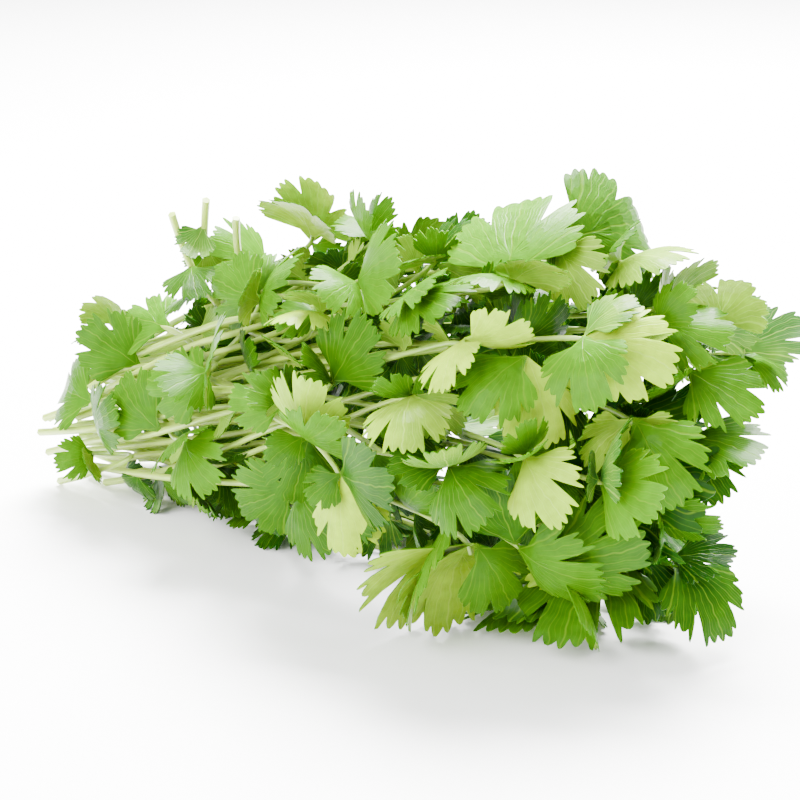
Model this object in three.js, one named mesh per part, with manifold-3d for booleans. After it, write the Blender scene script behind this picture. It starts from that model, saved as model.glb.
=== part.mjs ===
// A bunch of fresh coriander lying on its side, as it is put down on a table.
// Millimetres, +Z up. The cut ends lie towards -X and the leafy head towards +X.
// The origin is the flat spot under the lowest stem, which the bunch rests on.
// Each leafy stem is one mesh: a tapering stalk with its leaflets grown onto it.

import * as THREE from "three";
import { mergeVertices } from "three/addons/utils/BufferGeometryUtils.js";
import Module from "manifold-3d";

const wasm = await Module();
wasm.setup();

// Stalks
const BUTT_RADIUS = 1.45; // at the cut end
const TIP_RADIUS = 0.85; // where the last leaflet starts
const STALK_SIDES = 4;
const STALK_STEPS = 9;
const STALK_POINTS = 40; // points of a route while the stalks are laid beside each other
const STALK_PITCH = 5.3; // least distance between the middles of two stalks
const BUTT_SPREAD = 1.3; // radians round the heap by which a cut end may lie off its leaves
const LAY_ROUNDS = 170;
const LAY_BIAS = 0.6; // how strongly the later of two crossing stalks goes inwards
const FLAT_SPOT = 0.4; // how much of the lowest stem's underside is pressed flat

// Leaflets
const BLADE_THICK = 0.8;
const LEAST_GAP = 0.25; // air between two stems wherever they lie close
const LEAF_COLOUR = 0x6ea52e;
const ROOT_DEPTH = 1.4; // how deep the leaflets' bases sit in the stalk's tip
const BLADE_CLEARANCE = 3.3; // least distance between points of two blades
const STALK_CLEARANCE = 3.6; // and between points of a blade and of a stalk
const SISTER_CLEARANCE = 2.4; // and between two leaflets on one stalk, beyond their common root
const ROOT_REACH = 8; // how far that root reaches
const HUB_SHARE = 0.25; // where the veins part, as a share of the blade's length
const LEAST_LENGTH = 26;
const SHORTEST_BLADE = 15;
const TRIES = 30; // turns that a leaflet is given to find room
const SWING_STEP = 2.6; // degrees that it swings further with each turn
const TWIST_STEP = 5; // and that it rolls further

// The heap's sections: place along X, middle in Y, half width, height
const HEAP = [
  [-168, -10, 24, 34],
  [-125, 2, 44, 70],
  [-60, 10, 54, 102],
  [0, 14, 68, 124],
  [60, 18, 76, 132],
  [105, 22, 62, 112],
  [140, 26, 24, 72],
];
const BELLY = 0.4; // height of a section's widest place, as a share of its height
const CROWN = 0.6; // from there to the top
const KEEL = 0.55; // and down to its rounded underside

// The lowest stem lies along the table, and its flat underside carries the bunch. Millimetres.
const KEEL_WAY = [
  [-152, -8, 7],
  [-70, -3.5, 0],
  [0, 0, 0],
  [50, 2.5, 0],
  [92, 8, 8],
];
const KEEL_ANGLE = -0.4 * Math.PI; // where round the heap its leaflets spread

// The side the heap shows best: places on it are given as they look from here,
// across and down a square picture.
const SIGHT = { azimuth: 38, elevation: 19, distance: 700, aim: [0, 0, 60], scale: 2.8, middle: 400 };

// The stems that show, from the front of the heap to its back. hub is where the leaflets part,
// tips the ends of the leaflets as [across, down, lift, roll], via and butt places that the stalk passes.
const SHOWN = [
  {
    hub: [478, 546], via: [[438, 488], [405, 470]], lift: 10,
    tips: [[444, 624, 6, 0], [402, 632, 0, 30], [512, 606, 0, -40]],
  },
  {
    hub: [545, 564], via: [[492, 531]], lift: 8,
    tips: [[586, 646, 4, 0], [657, 556, 2, 20], [674, 602, 0, -30]],
  },
  {
    hub: [343, 476], via: [[320, 442]], lift: 10,
    tips: [[360, 558, 6, 0], [392, 488, 0, 20], [318, 512, 0, -20]],
  },
  {
    hub: [588, 336], via: [[508, 348]], lift: 12,
    tips: [[677, 374, 10, 0], [592, 410, 4, 10], [634, 300, 2, -40]],
  },
  {
    hub: [530, 356], via: [[500, 340]], lift: 12,
    tips: [[545, 458, 10, 5], [472, 428, 8, 0]],
  },
  {
    hub: [467, 338], via: [[448, 332]], lift: 12,
    tips: [[438, 414, 10, 0], [550, 330, 4, 35]],
  },
  {
    hub: [447, 340], lift: 8,
    tips: [[388, 388, 10, 0], [418, 318, 2, -30]],
  },
  {
    hub: [334, 382], lift: 2,
    tips: [[372, 316, 6, 0], [312, 340, 2, 30]],
  },
  {
    hub: [512, 286], lift: 4,
    tips: [[524, 212, 8, 0], [470, 296, 6, 30], [548, 300, 4, -20]],
  },
  {
    hub: [562, 242], lift: 4,
    tips: [[598, 284, 10, 0], [654, 226, 4, 30], [600, 216, 0, -30]],
  },
  {
    hub: [415, 394], via: [[424, 380]], lift: 8,
    tips: [[404, 456, 8, 0], [366, 402, 4, 10], [438, 420, 0, -30]],
  },
  {
    hub: [452, 466], lift: 8,
    tips: [[456, 414, 8, 0], [388, 462, 6, 40], [486, 524, 6, -10]],
  },
  {
    hub: [528, 456], via: [[512, 440]], lift: 8,
    tips: [[556, 517, 8, 0], [584, 478, 2, 20], [502, 470, 2, -50]],
  },
  {
    hub: [604, 482], lift: 4,
    tips: [[656, 506, 8, 0], [606, 540, 0, 20], [612, 420, 8, -20]],
  },
  {
    hub: [638, 420], lift: 4,
    tips: [[684, 506, 6, 0], [590, 440, 4, 40], [668, 440, 0, -20]],
  },
  {
    hub: [359, 283], via: [[395, 292]], lift: 6,
    tips: [[404, 256, 8, 0], [326, 292, 8, 20], [386, 312, 6, -10]],
  },
  {
    hub: [410, 296], lift: 6,
    tips: [[462, 308, 8, 0], [442, 334, 6, -30], [440, 284, 2, 30]],
  },
  {
    hub: [662, 326], lift: 0,
    tips: [[729, 338, 4, 0], [700, 296, 2, 30], [690, 368, 0, -30]],
  },
  {
    hub: [690, 372], lift: 0,
    tips: [[756, 416, 4, 0], [716, 356, 2, 40], [690, 430, 0, -20]],
  },
  {
    hub: [690, 438], lift: -6,
    tips: [[750, 452, 2, 0], [742, 496, 2, 20], [660, 470, 0, -20]],
  },
  {
    hub: [654, 498], lift: -4,
    tips: [[716, 526, 2, 0], [690, 478, 0, 20], [640, 545, 0, -20]],
  },
  {
    hub: [624, 262], lift: -4,
    tips: [[672, 274, 4, 0], [660, 240, 2, 20], [628, 300, 2, -20]],
  },
  {
    hub: [308, 438], via: [[286, 414]], lift: 8,
    tips: [[314, 376, 8, 0], [272, 460, 4, 20], [345, 452, 4, -20]],
  },
  {
    hub: [286, 412], lift: 4, butt: [40, 432], by: [185, 426],
    tips: [[230, 396, 8, 0], [266, 372, 2, 20], [262, 440, 0, -20]],
  },
  {
    hub: [210, 372], lift: 0, butt: [95, 356], by: [190, 304],
    tips: [[168, 392, 6, 0], [226, 418, 4, 20], [222, 350, 4, -20]],
  },
  {
    hub: [186, 436], lift: 2, butt: [45, 418], by: [172, 378],
    tips: [[216, 490, 6, 0], [236, 444, 0, 20], [170, 470, 0, -20]],
  },
  {
    hub: [262, 300], lift: 2, butt: [90, 388], by: [140, 345],
    tips: [[232, 262, 6, 0], [216, 342, 6, 20], [300, 270, 2, -20]],
  },
  {
    hub: [322, 312], lift: 2, butt: [172, 214], by: [192, 292],
    tips: [[286, 334, 8, 20], [330, 284, 2, 0], [268, 322, 4, -20]],
  },
  {
    hub: [314, 240], lift: -2, butt: [206, 200], by: [198, 290],
    tips: [[316, 184, 0, 0], [286, 200, 0, 40], [346, 216, 0, -40]],
  },
  {
    hub: [376, 240], lift: -2, butt: [236, 218], by: [228, 276],
    tips: [[392, 208, 0, 0], [340, 222, 0, 30], [420, 232, 0, -30]],
  },
  {
    hub: [92, 448], lift: 0, butt: [60, 484], by: [160, 452],
    tips: [[62, 462, 2, 0], [84, 480, 2, 20]],
  },
  {
    hub: [118, 330], lift: -4,
    tips: [[72, 334, 2, 0], [150, 306, 2, 20], [92, 366, 2, -20]],
  },
  {
    hub: [440, 262], lift: -2,
    tips: [[436, 232, 0, 0], [466, 250, 0, -20], [408, 256, 0, 20]],
  },
];

// The stems that fill the heap behind and under those
const FILLERS = 23;
const FILLER_FROM = -112;
const FILLER_TO = 126;
const GOLDEN = 0.618034;
const PLASTIC = 0.754878;

const { clamp, degToRad, lerp, seededRandom, smoothstep } = THREE.MathUtils;
const UP = new THREE.Vector3(0, 0, 1);
const ALONG = new THREE.Vector3(1, 0, 0);

// The same draw each time for the same two numbers, from 0 to 1.
const chance = (item, draw) => seededRandom(item * 1000 + draw);
const between = (low, high, item, draw) => lerp(low, high, chance(item, draw));
const fraction = (x) => x - Math.floor(x);

// A section of the heap at x: { y, half, top }
function section(x) {
  const at = clamp(x, HEAP[0][0], HEAP.at(-1)[0]);
  const next = Math.max(1, HEAP.findIndex((row) => row[0] >= at));
  const [low, high] = [HEAP[next - 1], HEAP[next]];
  const share = (at - low[0]) / (high[0] - low[0]);
  const [y, half, top] = [1, 2, 3].map((i) => lerp(low[i], high[i], share));
  return { y, half, top };
}

// How far out in the heap a point is: 0 in its middle, 1 on its surface.
function depthOf(p) {
  const s = section(p.x);
  const rise = p.z - BELLY * s.top;
  const up = rise / (s.top * (rise > 0 ? CROWN : KEEL));
  const past = Math.max(0, HEAP[0][0] - p.x, p.x - HEAP.at(-1)[0]);
  return Math.hypot((p.y - s.y) / s.half, up) + past / 20;
}

// The point of the heap at x, turned angle from +Y up to +Z, share of the way out.
function heapPoint(x, angle, share) {
  const s = section(x);
  const reach = Math.sin(angle) > 0 ? CROWN : KEEL;
  const z = s.top * (BELLY + share * reach * Math.sin(angle));
  return new THREE.Vector3(x, s.y + share * s.half * Math.cos(angle), Math.max(z, 3));
}

// The direction out of the heap at p, across its length.
function outwardAt(p) {
  const s = section(p.x);
  return new THREE.Vector3(0, (p.y - s.y) / s.half, (p.z - BELLY * s.top) / (s.top * CROWN)).normalize();
}

// The angle and share that heapPoint would need for p.
function heapPlace(p) {
  const s = section(p.x);
  const rise = p.z - BELLY * s.top;
  const up = rise / (s.top * (rise > 0 ? CROWN : KEEL));
  return { angle: Math.atan2(up, (p.y - s.y) / s.half), share: depthOf(p) };
}

function sightFrame() {
  const [a, e] = [degToRad(SIGHT.azimuth), degToRad(SIGHT.elevation)];
  const right = new THREE.Vector3(Math.cos(a), Math.sin(a), 0);
  const back = new THREE.Vector3(Math.sin(a) * Math.cos(e), -Math.cos(a) * Math.cos(e), Math.sin(e));
  return { right, back, up: back.clone().cross(right), aim: new THREE.Vector3(...SIGHT.aim) };
}
const sight = sightFrame();

// The point that looks to be at [across, down], nearer than the aim by toward.
function seenAt([across, down], toward) {
  const size = (SIGHT.distance - toward) / SIGHT.distance / SIGHT.scale;
  return sight.aim
    .clone()
    .addScaledVector(sight.right, (across - SIGHT.middle) * size)
    .addScaledVector(sight.up, (SIGHT.middle - down) * size)
    .addScaledVector(sight.back, toward);
}

// Where the line of sight through [across, down] meets the heap, or passes it most closely,
// and lift nearer than that.
function onHeap(place, lift = 0) {
  let best = { toward: 0, depth: Infinity };
  for (let toward = 150; toward > -170; toward -= 2) {
    const p = seenAt(place, toward);
    const depth = p.z < 0 ? Infinity : depthOf(p);
    if (depth < best.depth) best = { toward, depth };
    if (depth <= 1) break;
  }
  const p = seenAt(place, best.toward + lift);
  p.z = Math.max(p.z, 1);
  return p;
}

// A line through the points, as count points at equal distances.
function evenly(points, count) {
  const run = [0];
  for (let i = 1; i < points.length; i++) run.push(run[i - 1] + points[i].distanceTo(points[i - 1]));
  const line = [];
  let i = 1;
  for (let k = 0; k < count; k++) {
    const want = (run.at(-1) * k) / (count - 1);
    while (i < run.length - 1 && run[i] < want) i++;
    line.push(points[i - 1].clone().lerp(points[i], (want - run[i - 1]) / (run[i] - run[i - 1])));
  }
  return line;
}

// The line with its corners rounded, and its ends kept.
function rounded(line, rounds, weight = 0.5) {
  let now = line;
  for (let n = 0; n < rounds; n++) {
    now = now.map((p, i) =>
      i === 0 || i === now.length - 1
        ? p.clone()
        : p.clone().lerp(now[i - 1].clone().add(now[i + 1]).multiplyScalar(0.5), weight),
    );
  }
  return now;
}

// The way of a stalk to its hub: from the cut end through the middle of the heap, then out.
function stalkRoute(item, hub, { butt, by, via = [] }) {
  const { angle, share } = heapPlace(hub);
  const spread = between(-BUTT_SPREAD, BUTT_SPREAD, item, 1);
  const depth = clamp(share, 0.15, 1) * between(0.45, 0.95, item, 2);
  const start = butt ? onHeap(butt) : heapPoint(between(-156, -128, item, 0), angle + spread, depth);
  const inner = [0.3, 0.6].map((step) => {
    const deep = lerp(depth, 0.85 * share, step * step);
    return heapPoint(lerp(start.x, hub.x, step), angle + spread * (1 - step), deep);
  });
  const seen = via.map((place) => onHeap(place, -2)).reverse();
  const first = by ? [onHeap(by, -1)] : [];
  const way = [start, ...first, ...(by ? inner.slice(1) : inner), ...seen, hub];
  return evenly(rounded(evenly(way, STALK_POINTS), 10), STALK_POINTS);
}

// The stems of the heap, with their routes and the leaflets that they ask for.
function plannedStems() {
  const stems = SHOWN.map((shown, item) => {
    const hub = onHeap(shown.hub, shown.lift - 8);
    const asked = shown.tips.map(([across, down, lift, roll]) => ({
      tip: leaned(hub, onHeap([across, down], lift)),
      roll: degToRad(roll),
      shown: true,
    }));
    return { item, route: stalkRoute(item, hub, shown), asked };
  });
  stems.push(keelStem(stems.length));
  for (let k = 0; k < FILLERS; k++) {
    const item = stems.length;
    const outer = k % 3 !== 2;
    const x = lerp(FILLER_FROM, FILLER_TO, fraction(k * GOLDEN + 0.3));
    const angle = outer
      ? lerp(-0.6, 0.75, fraction(k * PLASTIC)) * Math.PI
      : 2 * Math.PI * fraction(k * PLASTIC);
    const route = stalkRoute(item, heapPoint(x, angle, outer ? 0.82 : 0.5), {});
    stems.push({ item, route, asked: fillerTips(item, route.at(-1), angle, lowKnot(route)) });
  }
  return stems;
}

// The tip moved nearer where the leaflet would else be too short, so that it looks foreshortened.
function leaned(hub, tip) {
  const missing = LEAST_LENGTH ** 2 - hub.distanceToSquared(tip);
  return missing > 0 ? tip.addScaledVector(sight.back, 0.85 * Math.sqrt(missing)) : tip;
}

function keelStem(item) {
  const way = KEEL_WAY.map((place) => new THREE.Vector3(...place));
  const route = evenly(rounded(evenly(way, STALK_POINTS), 3), STALK_POINTS);
  route.forEach((p, k) => {
    p.z = Math.max(p.z, stalkRadius(k / (STALK_POINTS - 1)) - FLAT_SPOT);
  });
  const asked = fillerTips(item, route.at(-1), KEEL_ANGLE, lowKnot(route));
  return { item, route, asked, fixed: true };
}

// The place on the stalk, one ring before its tip, that its lower leaflets grow from.
const lowKnot = (route) => evenly(route, STALK_STEPS).at(-2);

// Leaflets that fan out forwards and outwards from a filler's hub, and a pair from its lower knot.
function fillerTips(item, hub, angle, knot) {
  const outward = new THREE.Vector3(0, Math.cos(angle), Math.sin(angle));
  const sideways = outward.clone().cross(ALONG);
  const ahead = ALONG.clone()
    .multiplyScalar(between(0.4, 1, item, 3))
    .addScaledVector(outward, between(0.25, 0.7, item, 4))
    .addScaledVector(sideways, between(-0.7, 0.7, item, 5))
    .normalize();
  const side = ahead.clone().cross(outward).normalize();
  const fan = (from, turns, low) =>
    turns.map((turn, i) => {
      const length = between(24, 31, item, 6 + i + 3 * low) * (turn ? 0.92 : 1);
      const way = ahead.clone().addScaledVector(side, 1.5 * turn).normalize();
      return { tip: from.clone().addScaledVector(way, length), roll: 0, low };
    });
  return [...fan(hub, [0, 1, -1], 0), ...fan(knot, [1.3, -1.3], 1)];
}

const stalkRadius = (share) => lerp(BUTT_RADIUS, TIP_RADIUS, share);

// Pushes apart the stalks that lie in each other, and keeps them above the table.
function layStalks(stems) {
  for (let round = 0; round < LAY_ROUNDS; round++) {
    const pushes = stems.map((stem) => stem.route.map(() => new THREE.Vector3()));
    const ways = stems.map((stem) => stem.route.at(-1).clone().sub(stem.route[0]).normalize());
    stems.forEach((a, i) =>
      stems.slice(i + 1).forEach((b, offset) => {
        const j = i + 1 + offset;
        a.route.forEach((p, m) =>
          b.route.forEach((q, n) => {
            const d = p.distanceTo(q);
            if (d >= STALK_PITCH || d < 1e-6) return;
            const push = p.clone().sub(q).divideScalar(d).addScaledVector(outwardAt(p), LAY_BIAS);
            push.addScaledVector(ways[i], -push.dot(ways[i])).setLength(0.45 * (STALK_PITCH - d));
            pushes[i][m].addScaledVector(push, b.fixed ? 2 : 1);
            pushes[j][n].addScaledVector(push, a.fixed ? -2 : -1);
          }),
        );
      }),
    );
    stems.forEach((stem, i) => {
      if (stem.fixed) return;
      stem.route.forEach((p, k) => {
        p.add(pushes[i][k].clampLength(0, 3));
        p.z = Math.max(p.z, stalkRadius(k / (STALK_POINTS - 1)));
      });
      if (round < LAY_ROUNDS - 40) stem.route = rounded(stem.route, 1, 0.3);
    });
  }
}

// The leaflet's outline in shares of its length, [along, across]: three lobes on a wedge.
const HALF_OUTLINE = [
  [0.28, 0.2],
  [0.4, 0.47],
  [0.66, 0.46],
  [0.54, 0.17],
  [0.88, 0.21],
];
const OTHER_HALF = HALF_OUTLINE.map(([along, across]) => [along, -across]);
const RIM = [[0, 0], ...OTHER_HALF, [1, 0], ...HALF_OUTLINE.toReversed()];
const RINGS = [0.4, 0.65, 0.85, 1]; // from the veins' parting out to the rim

// How far the blade's surface stands out at a flat place, in shares of its length.
function bulge([u, v], { arch, cup, wave, phase }) {
  const turn = Math.atan2(v, u + 1e-9);
  return arch * 4 * u * (1 - u) - cup * 4 * v * v + wave * (u * u + v * v) * Math.sin(3 * turn + phase);
}

// A blade with a base, a tip and a facing: its frame, and points on its surface.
function makeBlade(base, tip, facing, bends) {
  const along = tip.clone().sub(base);
  const length = along.length();
  along.normalize();
  const out = facing.clone().addScaledVector(along, -facing.dot(along)).normalize();
  const side = out.clone().cross(along);
  const at = ([u, v]) => {
    const p = base.clone().addScaledVector(along, u * length).addScaledVector(side, v * length);
    return p.addScaledVector(out, bulge([u, v], bends) * length);
  };
  const normalAt = ([u, v]) => {
    const step = 0.01;
    const here = bulge([u, v], bends);
    return out
      .clone()
      .addScaledVector(along, -(bulge([u + step, v], bends) - here) / step)
      .addScaledVector(side, -(bulge([u, v + step], bends) - here) / step)
      .normalize();
  };
  const middle = [HUB_SHARE, 0];
  const rings = RINGS.flatMap((share) =>
    RIM.map(([u, v]) => at([lerp(HUB_SHARE, u, share), lerp(0, v, share)])),
  );
  const points = [at(middle), ...rings];
  const free = points.filter((p) => p.distanceTo(base) > ROOT_REACH);
  return { at, normalAt, middle, points, free, length, centre: at([0.5, 0]) };
}

// A blade as the stem asks for it, turned a little more with each try.
function bladeFor(stem, ask, number, attempt) {
  const end = stem.route.at(-1);
  const inwards = stem.route.at(-2).clone().sub(end).normalize();
  const base = ask.low ? lowKnot(stem.route) : end.clone().addScaledVector(inwards, ROOT_DEPTH);
  const item = stem.item * 10 + number;
  const swing = degToRad(SWING_STEP * attempt) * (chance(item, 20 + attempt) > 0.5 ? 1 : -1);
  const twist = degToRad(TWIST_STEP * attempt) * (chance(item, 50 + attempt) > 0.5 ? 1 : -1);
  const reach = ask.tip.clone().sub(base);
  const middle = base.clone().addScaledVector(reach, 0.5);
  const facing = outwardAt(middle).addScaledVector(ALONG, 0.15);
  facing.addScaledVector(sight.back, ask.shown ? 0.9 : 0.1);
  facing.normalize().lerp(UP, smoothstep(-ask.tip.z, -22, -4)).normalize();
  const length = Math.max(reach.length() * (1 - 0.014 * attempt), SHORTEST_BLADE);
  const way = reach.normalize();
  const hinge = attempt % 2 ? facing : way.clone().cross(facing).normalize();
  way.applyAxisAngle(hinge, swing);
  facing.applyAxisAngle(way, ask.roll + twist);
  const bends = {
    arch: between(0.05, 0.16, item, 80),
    cup: between(0.02, 0.2, item, 81),
    wave: between(0.03, 0.09, item, 82),
    phase: between(0, 6.28, item, 83),
  };
  return makeBlade(base, base.clone().addScaledVector(way, length), facing, bends);
}

// Whether the blade keeps clear of the table and of every other stem's stalk and blades.
function fits(blade, stem, stems, clearance) {
  if (blade.points.some((p) => p.z < -0.9)) return false;
  return stems.every((other) => {
    if (other === stem) {
      return stem.blades.every((leaf) => !hasNeighbour(blade.free, leaf.free, SISTER_CLEARANCE));
    }
    const near = (p) => p.distanceTo(blade.centre) < blade.length + clearance;
    if (hasNeighbour(blade.points, other.route.filter(near), STALK_CLEARANCE)) return false;
    return other.blades.every(
      (leaf) =>
        leaf.centre.distanceTo(blade.centre) > 0.62 * (leaf.length + blade.length) + clearance ||
        !hasNeighbour(blade.points, leaf.points.filter(near), clearance),
    );
  });
}

function hasNeighbour(points, others, clearance) {
  const limit = clearance * clearance;
  return others.some((q) => points.some((p) => p.distanceToSquared(q) < limit));
}

function growBlades(stems) {
  stems.forEach((stem) => {
    stem.blades = [];
  });
  stems.forEach((stem) =>
    stem.asked.forEach((ask, number) => {
      for (let attempt = 0; attempt < TRIES; attempt++) {
        const blade = bladeFor(stem, ask, number, attempt);
        if (fits(blade, stem, stems, BLADE_CLEARANCE)) {
          stem.blades.push(blade);
          return;
        }
      }
    }),
  );
}

// A closed solid from points and triangles.
function solidOf(points, triangles) {
  const vertProperties = new Float32Array(points.flatMap((p) => p.toArray()));
  const triVerts = new Uint32Array(triangles);
  return new wasm.Manifold(new wasm.Mesh({ numProp: 3, vertProperties, triVerts }));
}

function bladeSolid(blade) {
  const flat = [blade.middle, ...RIM];
  const offset = (way) =>
    flat.map((place) => blade.at(place).addScaledVector(blade.normalAt(place), (way * BLADE_THICK) / 2));
  const points = [...offset(1), ...offset(-1)];
  const lower = flat.length;
  const triangles = [];
  RIM.forEach((_, i) => {
    const [a, b] = [1 + i, 1 + ((i + 1) % RIM.length)];
    triangles.push(0, a, b, lower, lower + b, lower + a);
    triangles.push(a, lower + a, b, b, lower + a, lower + b);
  });
  return solidOf(points, triangles);
}

// A tapering tube along the stalk's route, closed at both ends.
function stalkSolid(stem) {
  const line = evenly(stem.route, STALK_STEPS);
  const points = [];
  const triangles = [];
  line.forEach((p, k) => {
    const way = line[Math.min(k + 1, line.length - 1)].clone().sub(line[Math.max(k - 1, 0)]).normalize();
    const across = way.clone().cross(UP).normalize();
    const over = across.clone().cross(way);
    const radius = stalkRadius(k / (line.length - 1));
    for (let j = 0; j < STALK_SIDES; j++) {
      const turn = (2 * Math.PI * (j + 0.5)) / STALK_SIDES;
      const q = p.clone().addScaledVector(across, radius * Math.sin(turn));
      points.push(q.addScaledVector(over, radius * Math.cos(turn)));
    }
  });
  for (let k = 0; k + 1 < line.length; k++) {
    for (let j = 0; j < STALK_SIDES; j++) {
      const [a, b] = [k * STALK_SIDES + j, k * STALK_SIDES + ((j + 1) % STALK_SIDES)];
      triangles.push(a, b, a + STALK_SIDES, b, b + STALK_SIDES, a + STALK_SIDES);
    }
  }
  const last = (line.length - 1) * STALK_SIDES;
  for (let j = 1; j + 1 < STALK_SIDES; j++) {
    triangles.push(0, j + 1, j, last, last + j, last + j + 1);
  }
  return solidOf(points, triangles);
}

// Each stem's stalk and blades as one solid above the table, clear of all the others.
function stemSolids(stems) {
  const solids = stems.map((stem) => stalkSolid(stem).trimByPlane([0, 0, 1], 0));
  stems.forEach((stem, i) =>
    stem.blades.forEach((blade) => {
      const leaf = bladeSolid(blade).trimByPlane([0, 0, 1], 0);
      const joined = solids[i].add(leaf);
      const free = solids.every((other, j) => j === i || other.minGap(leaf, 1) > LEAST_GAP);
      if (free && joined.decompose().length === 1) solids[i] = joined;
    }),
  );
  return solids;
}

function meshOf(solid, name, colour) {
  const mesh = solid.getMesh();
  const geometry = new THREE.BufferGeometry();
  geometry.setAttribute("position", new THREE.BufferAttribute(new Float32Array(mesh.vertProperties), 3));
  geometry.setIndex(Array.from(mesh.triVerts));
  const whole = mergeVertices(geometry, 1e-5);
  whole.computeVertexNormals();
  const material = new THREE.MeshStandardMaterial({ name: "herb", color: colour, roughness: 0.6 });
  const part = new THREE.Mesh(whole, material);
  part.name = name;
  return part;
}

const stems = plannedStems();
layStalks(stems);
growBlades(stems);

const group = new THREE.Group();
group.name = "coriander_bunch";
stemSolids(stems).forEach((solid, i) => {
  group.add(meshOf(solid, `leafy_stem_${String(i + 1).padStart(2, "0")}`, LEAF_COLOUR));
});

export default group;
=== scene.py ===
# %% [markdown]
# # A bunch of coriander
#
# A bunch of coriander is a few dozen cut stalks lying together, each with a compound leaf at its end.
# Nothing holds them: they lie as they were put down. This lesson lays the stalks beside each other, lets
# leaflets grow into the room that is left, and then turns each stem into one finely cut mesh.
#
# The script starts from a imported model, the frame, with one plain solid for each stem. It lays its stems by
# the same rule as that model, so each fine stem lies where its plain one lies and can stand for it.

import math

import bpy
import numpy as np
from mathutils import Matrix, Vector


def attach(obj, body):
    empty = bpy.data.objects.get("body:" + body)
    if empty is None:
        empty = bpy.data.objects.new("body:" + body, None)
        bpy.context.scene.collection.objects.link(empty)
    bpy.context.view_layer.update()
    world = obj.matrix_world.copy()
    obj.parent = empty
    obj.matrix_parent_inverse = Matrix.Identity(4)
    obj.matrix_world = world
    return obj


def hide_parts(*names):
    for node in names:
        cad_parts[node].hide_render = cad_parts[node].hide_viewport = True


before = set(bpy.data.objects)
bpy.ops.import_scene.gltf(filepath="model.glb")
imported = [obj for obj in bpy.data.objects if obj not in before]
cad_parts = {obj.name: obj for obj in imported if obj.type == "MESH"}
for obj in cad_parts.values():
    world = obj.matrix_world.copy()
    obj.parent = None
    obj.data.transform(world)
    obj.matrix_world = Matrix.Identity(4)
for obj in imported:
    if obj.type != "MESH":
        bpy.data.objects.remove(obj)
bpy.context.view_layer.update()
stem_nodes = sorted(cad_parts)

# %% [markdown]
# ## The camera
#
# The camera looks along the bunch at an angle, a little from above, with a long lens, so near and far
# leaves keep almost the same size. Some stems are placed by where they look to be from this side, so the
# camera's numbers come first. Lengths in the layout are millimetres, and MM turns them into Blender's metres.

# %% Place the camera
MM = 0.001
SIGHT_AZIMUTH = 38.0
SIGHT_ELEVATION = 19.0
SIGHT_DISTANCE = 700.0
SIGHT_AIM = np.array([0.0, 0.0, 60.0])
SIGHT_SCALE = 2.8  # picture units to a millimetre at the aim
PICTURE_MIDDLE = 400.0
SENSOR = 36.0


def sight_axes():
    turn, rise = math.radians(SIGHT_AZIMUTH), math.radians(SIGHT_ELEVATION)
    right = np.array([math.cos(turn), math.sin(turn), 0.0])
    back = np.array([math.sin(turn) * math.cos(rise), -math.cos(turn) * math.cos(rise), math.sin(rise)])
    return right, np.cross(back, right), back


SIGHT_RIGHT, SIGHT_UP, SIGHT_BACK = sight_axes()
camera_data = bpy.data.cameras.new("camera")
camera_data.sensor_width = SENSOR
camera_data.lens = SIGHT_DISTANCE * SIGHT_SCALE * SENSOR / (2 * PICTURE_MIDDLE)
camera = bpy.data.objects.new("camera", camera_data)
bpy.context.scene.collection.objects.link(camera)
camera_turn = Matrix([Vector(axis) for axis in (SIGHT_RIGHT, SIGHT_UP, SIGHT_BACK)]).transposed()
camera_place = Vector((SIGHT_AIM + SIGHT_BACK * SIGHT_DISTANCE) * MM)
camera.matrix_world = Matrix.Translation(camera_place) @ camera_turn.to_4x4()
bpy.context.scene.camera = camera
print("lens", round(camera_data.lens, 1), "mm, camera at", [round(value, 3) for value in camera_place])

# %% [markdown]
# ## The heap
#
# A heap of herbs is hard to model leaf by leaf, but its outer shape is simple: narrow and low at the cut
# ends, full and high at the leaves. It is kept as a row of sections, each an egg shape across the bunch.
# Every stem is then placed by how far along, how far round and how deep in the heap it lies.

# %% Sections of the heap
# place along X, middle in Y, half width, height
HEAP = np.array(
    [
        [-168, -10, 24, 34],
        [-125, 2, 44, 70],
        [-60, 10, 54, 102],
        [0, 14, 68, 124],
        [60, 18, 76, 132],
        [105, 22, 62, 112],
        [140, 26, 24, 72],
    ],
    dtype=float,
)
BELLY = 0.4  # height of a section's widest place, as a share of its height
CROWN = 0.6  # from there to the top
KEEL = 0.55  # and down to its rounded underside
END_FALL = 20  # so far past an end of the heap counts as much as its whole depth
LEAST_HEIGHT = 3.0


def mix(low, high, share):
    return (1 - share) * low + share * high


def unit(vector):
    return vector / max(np.linalg.norm(vector), 1e-12)


def section(x):
    """The middle and half width, the widest place's height, and the reach over and under that place."""
    middle, half, height = (np.interp(x, HEAP[:, 0], HEAP[:, column]) for column in (1, 2, 3))
    return middle, half, BELLY * height, CROWN * height, KEEL * height


def depth_of(points):
    """0 in the middle of the heap, 1 on its surface."""
    x, y, z = np.moveaxis(points, -1, 0)
    middle, half, belly, crown, keel = section(x)
    rise = z - belly
    up = rise / np.where(rise > 0, crown, keel)
    past = np.maximum(0, np.maximum(HEAP[0, 0] - x, x - HEAP[-1, 0]))
    return np.hypot((y - middle) / half, up) + past / END_FALL


def heap_point(x, angle, share):
    middle, half, belly, crown, keel = section(x)
    z = belly + share * (crown if math.sin(angle) > 0 else keel) * math.sin(angle)
    return np.array([x, middle + share * half * math.cos(angle), max(z, LEAST_HEIGHT)])


def heap_place(point):
    middle, half, belly, crown, keel = section(point[0])
    rise = point[2] - belly
    up = rise / (crown if rise > 0 else keel)
    return math.atan2(up, (point[1] - middle) / half), float(depth_of(point))


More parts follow.
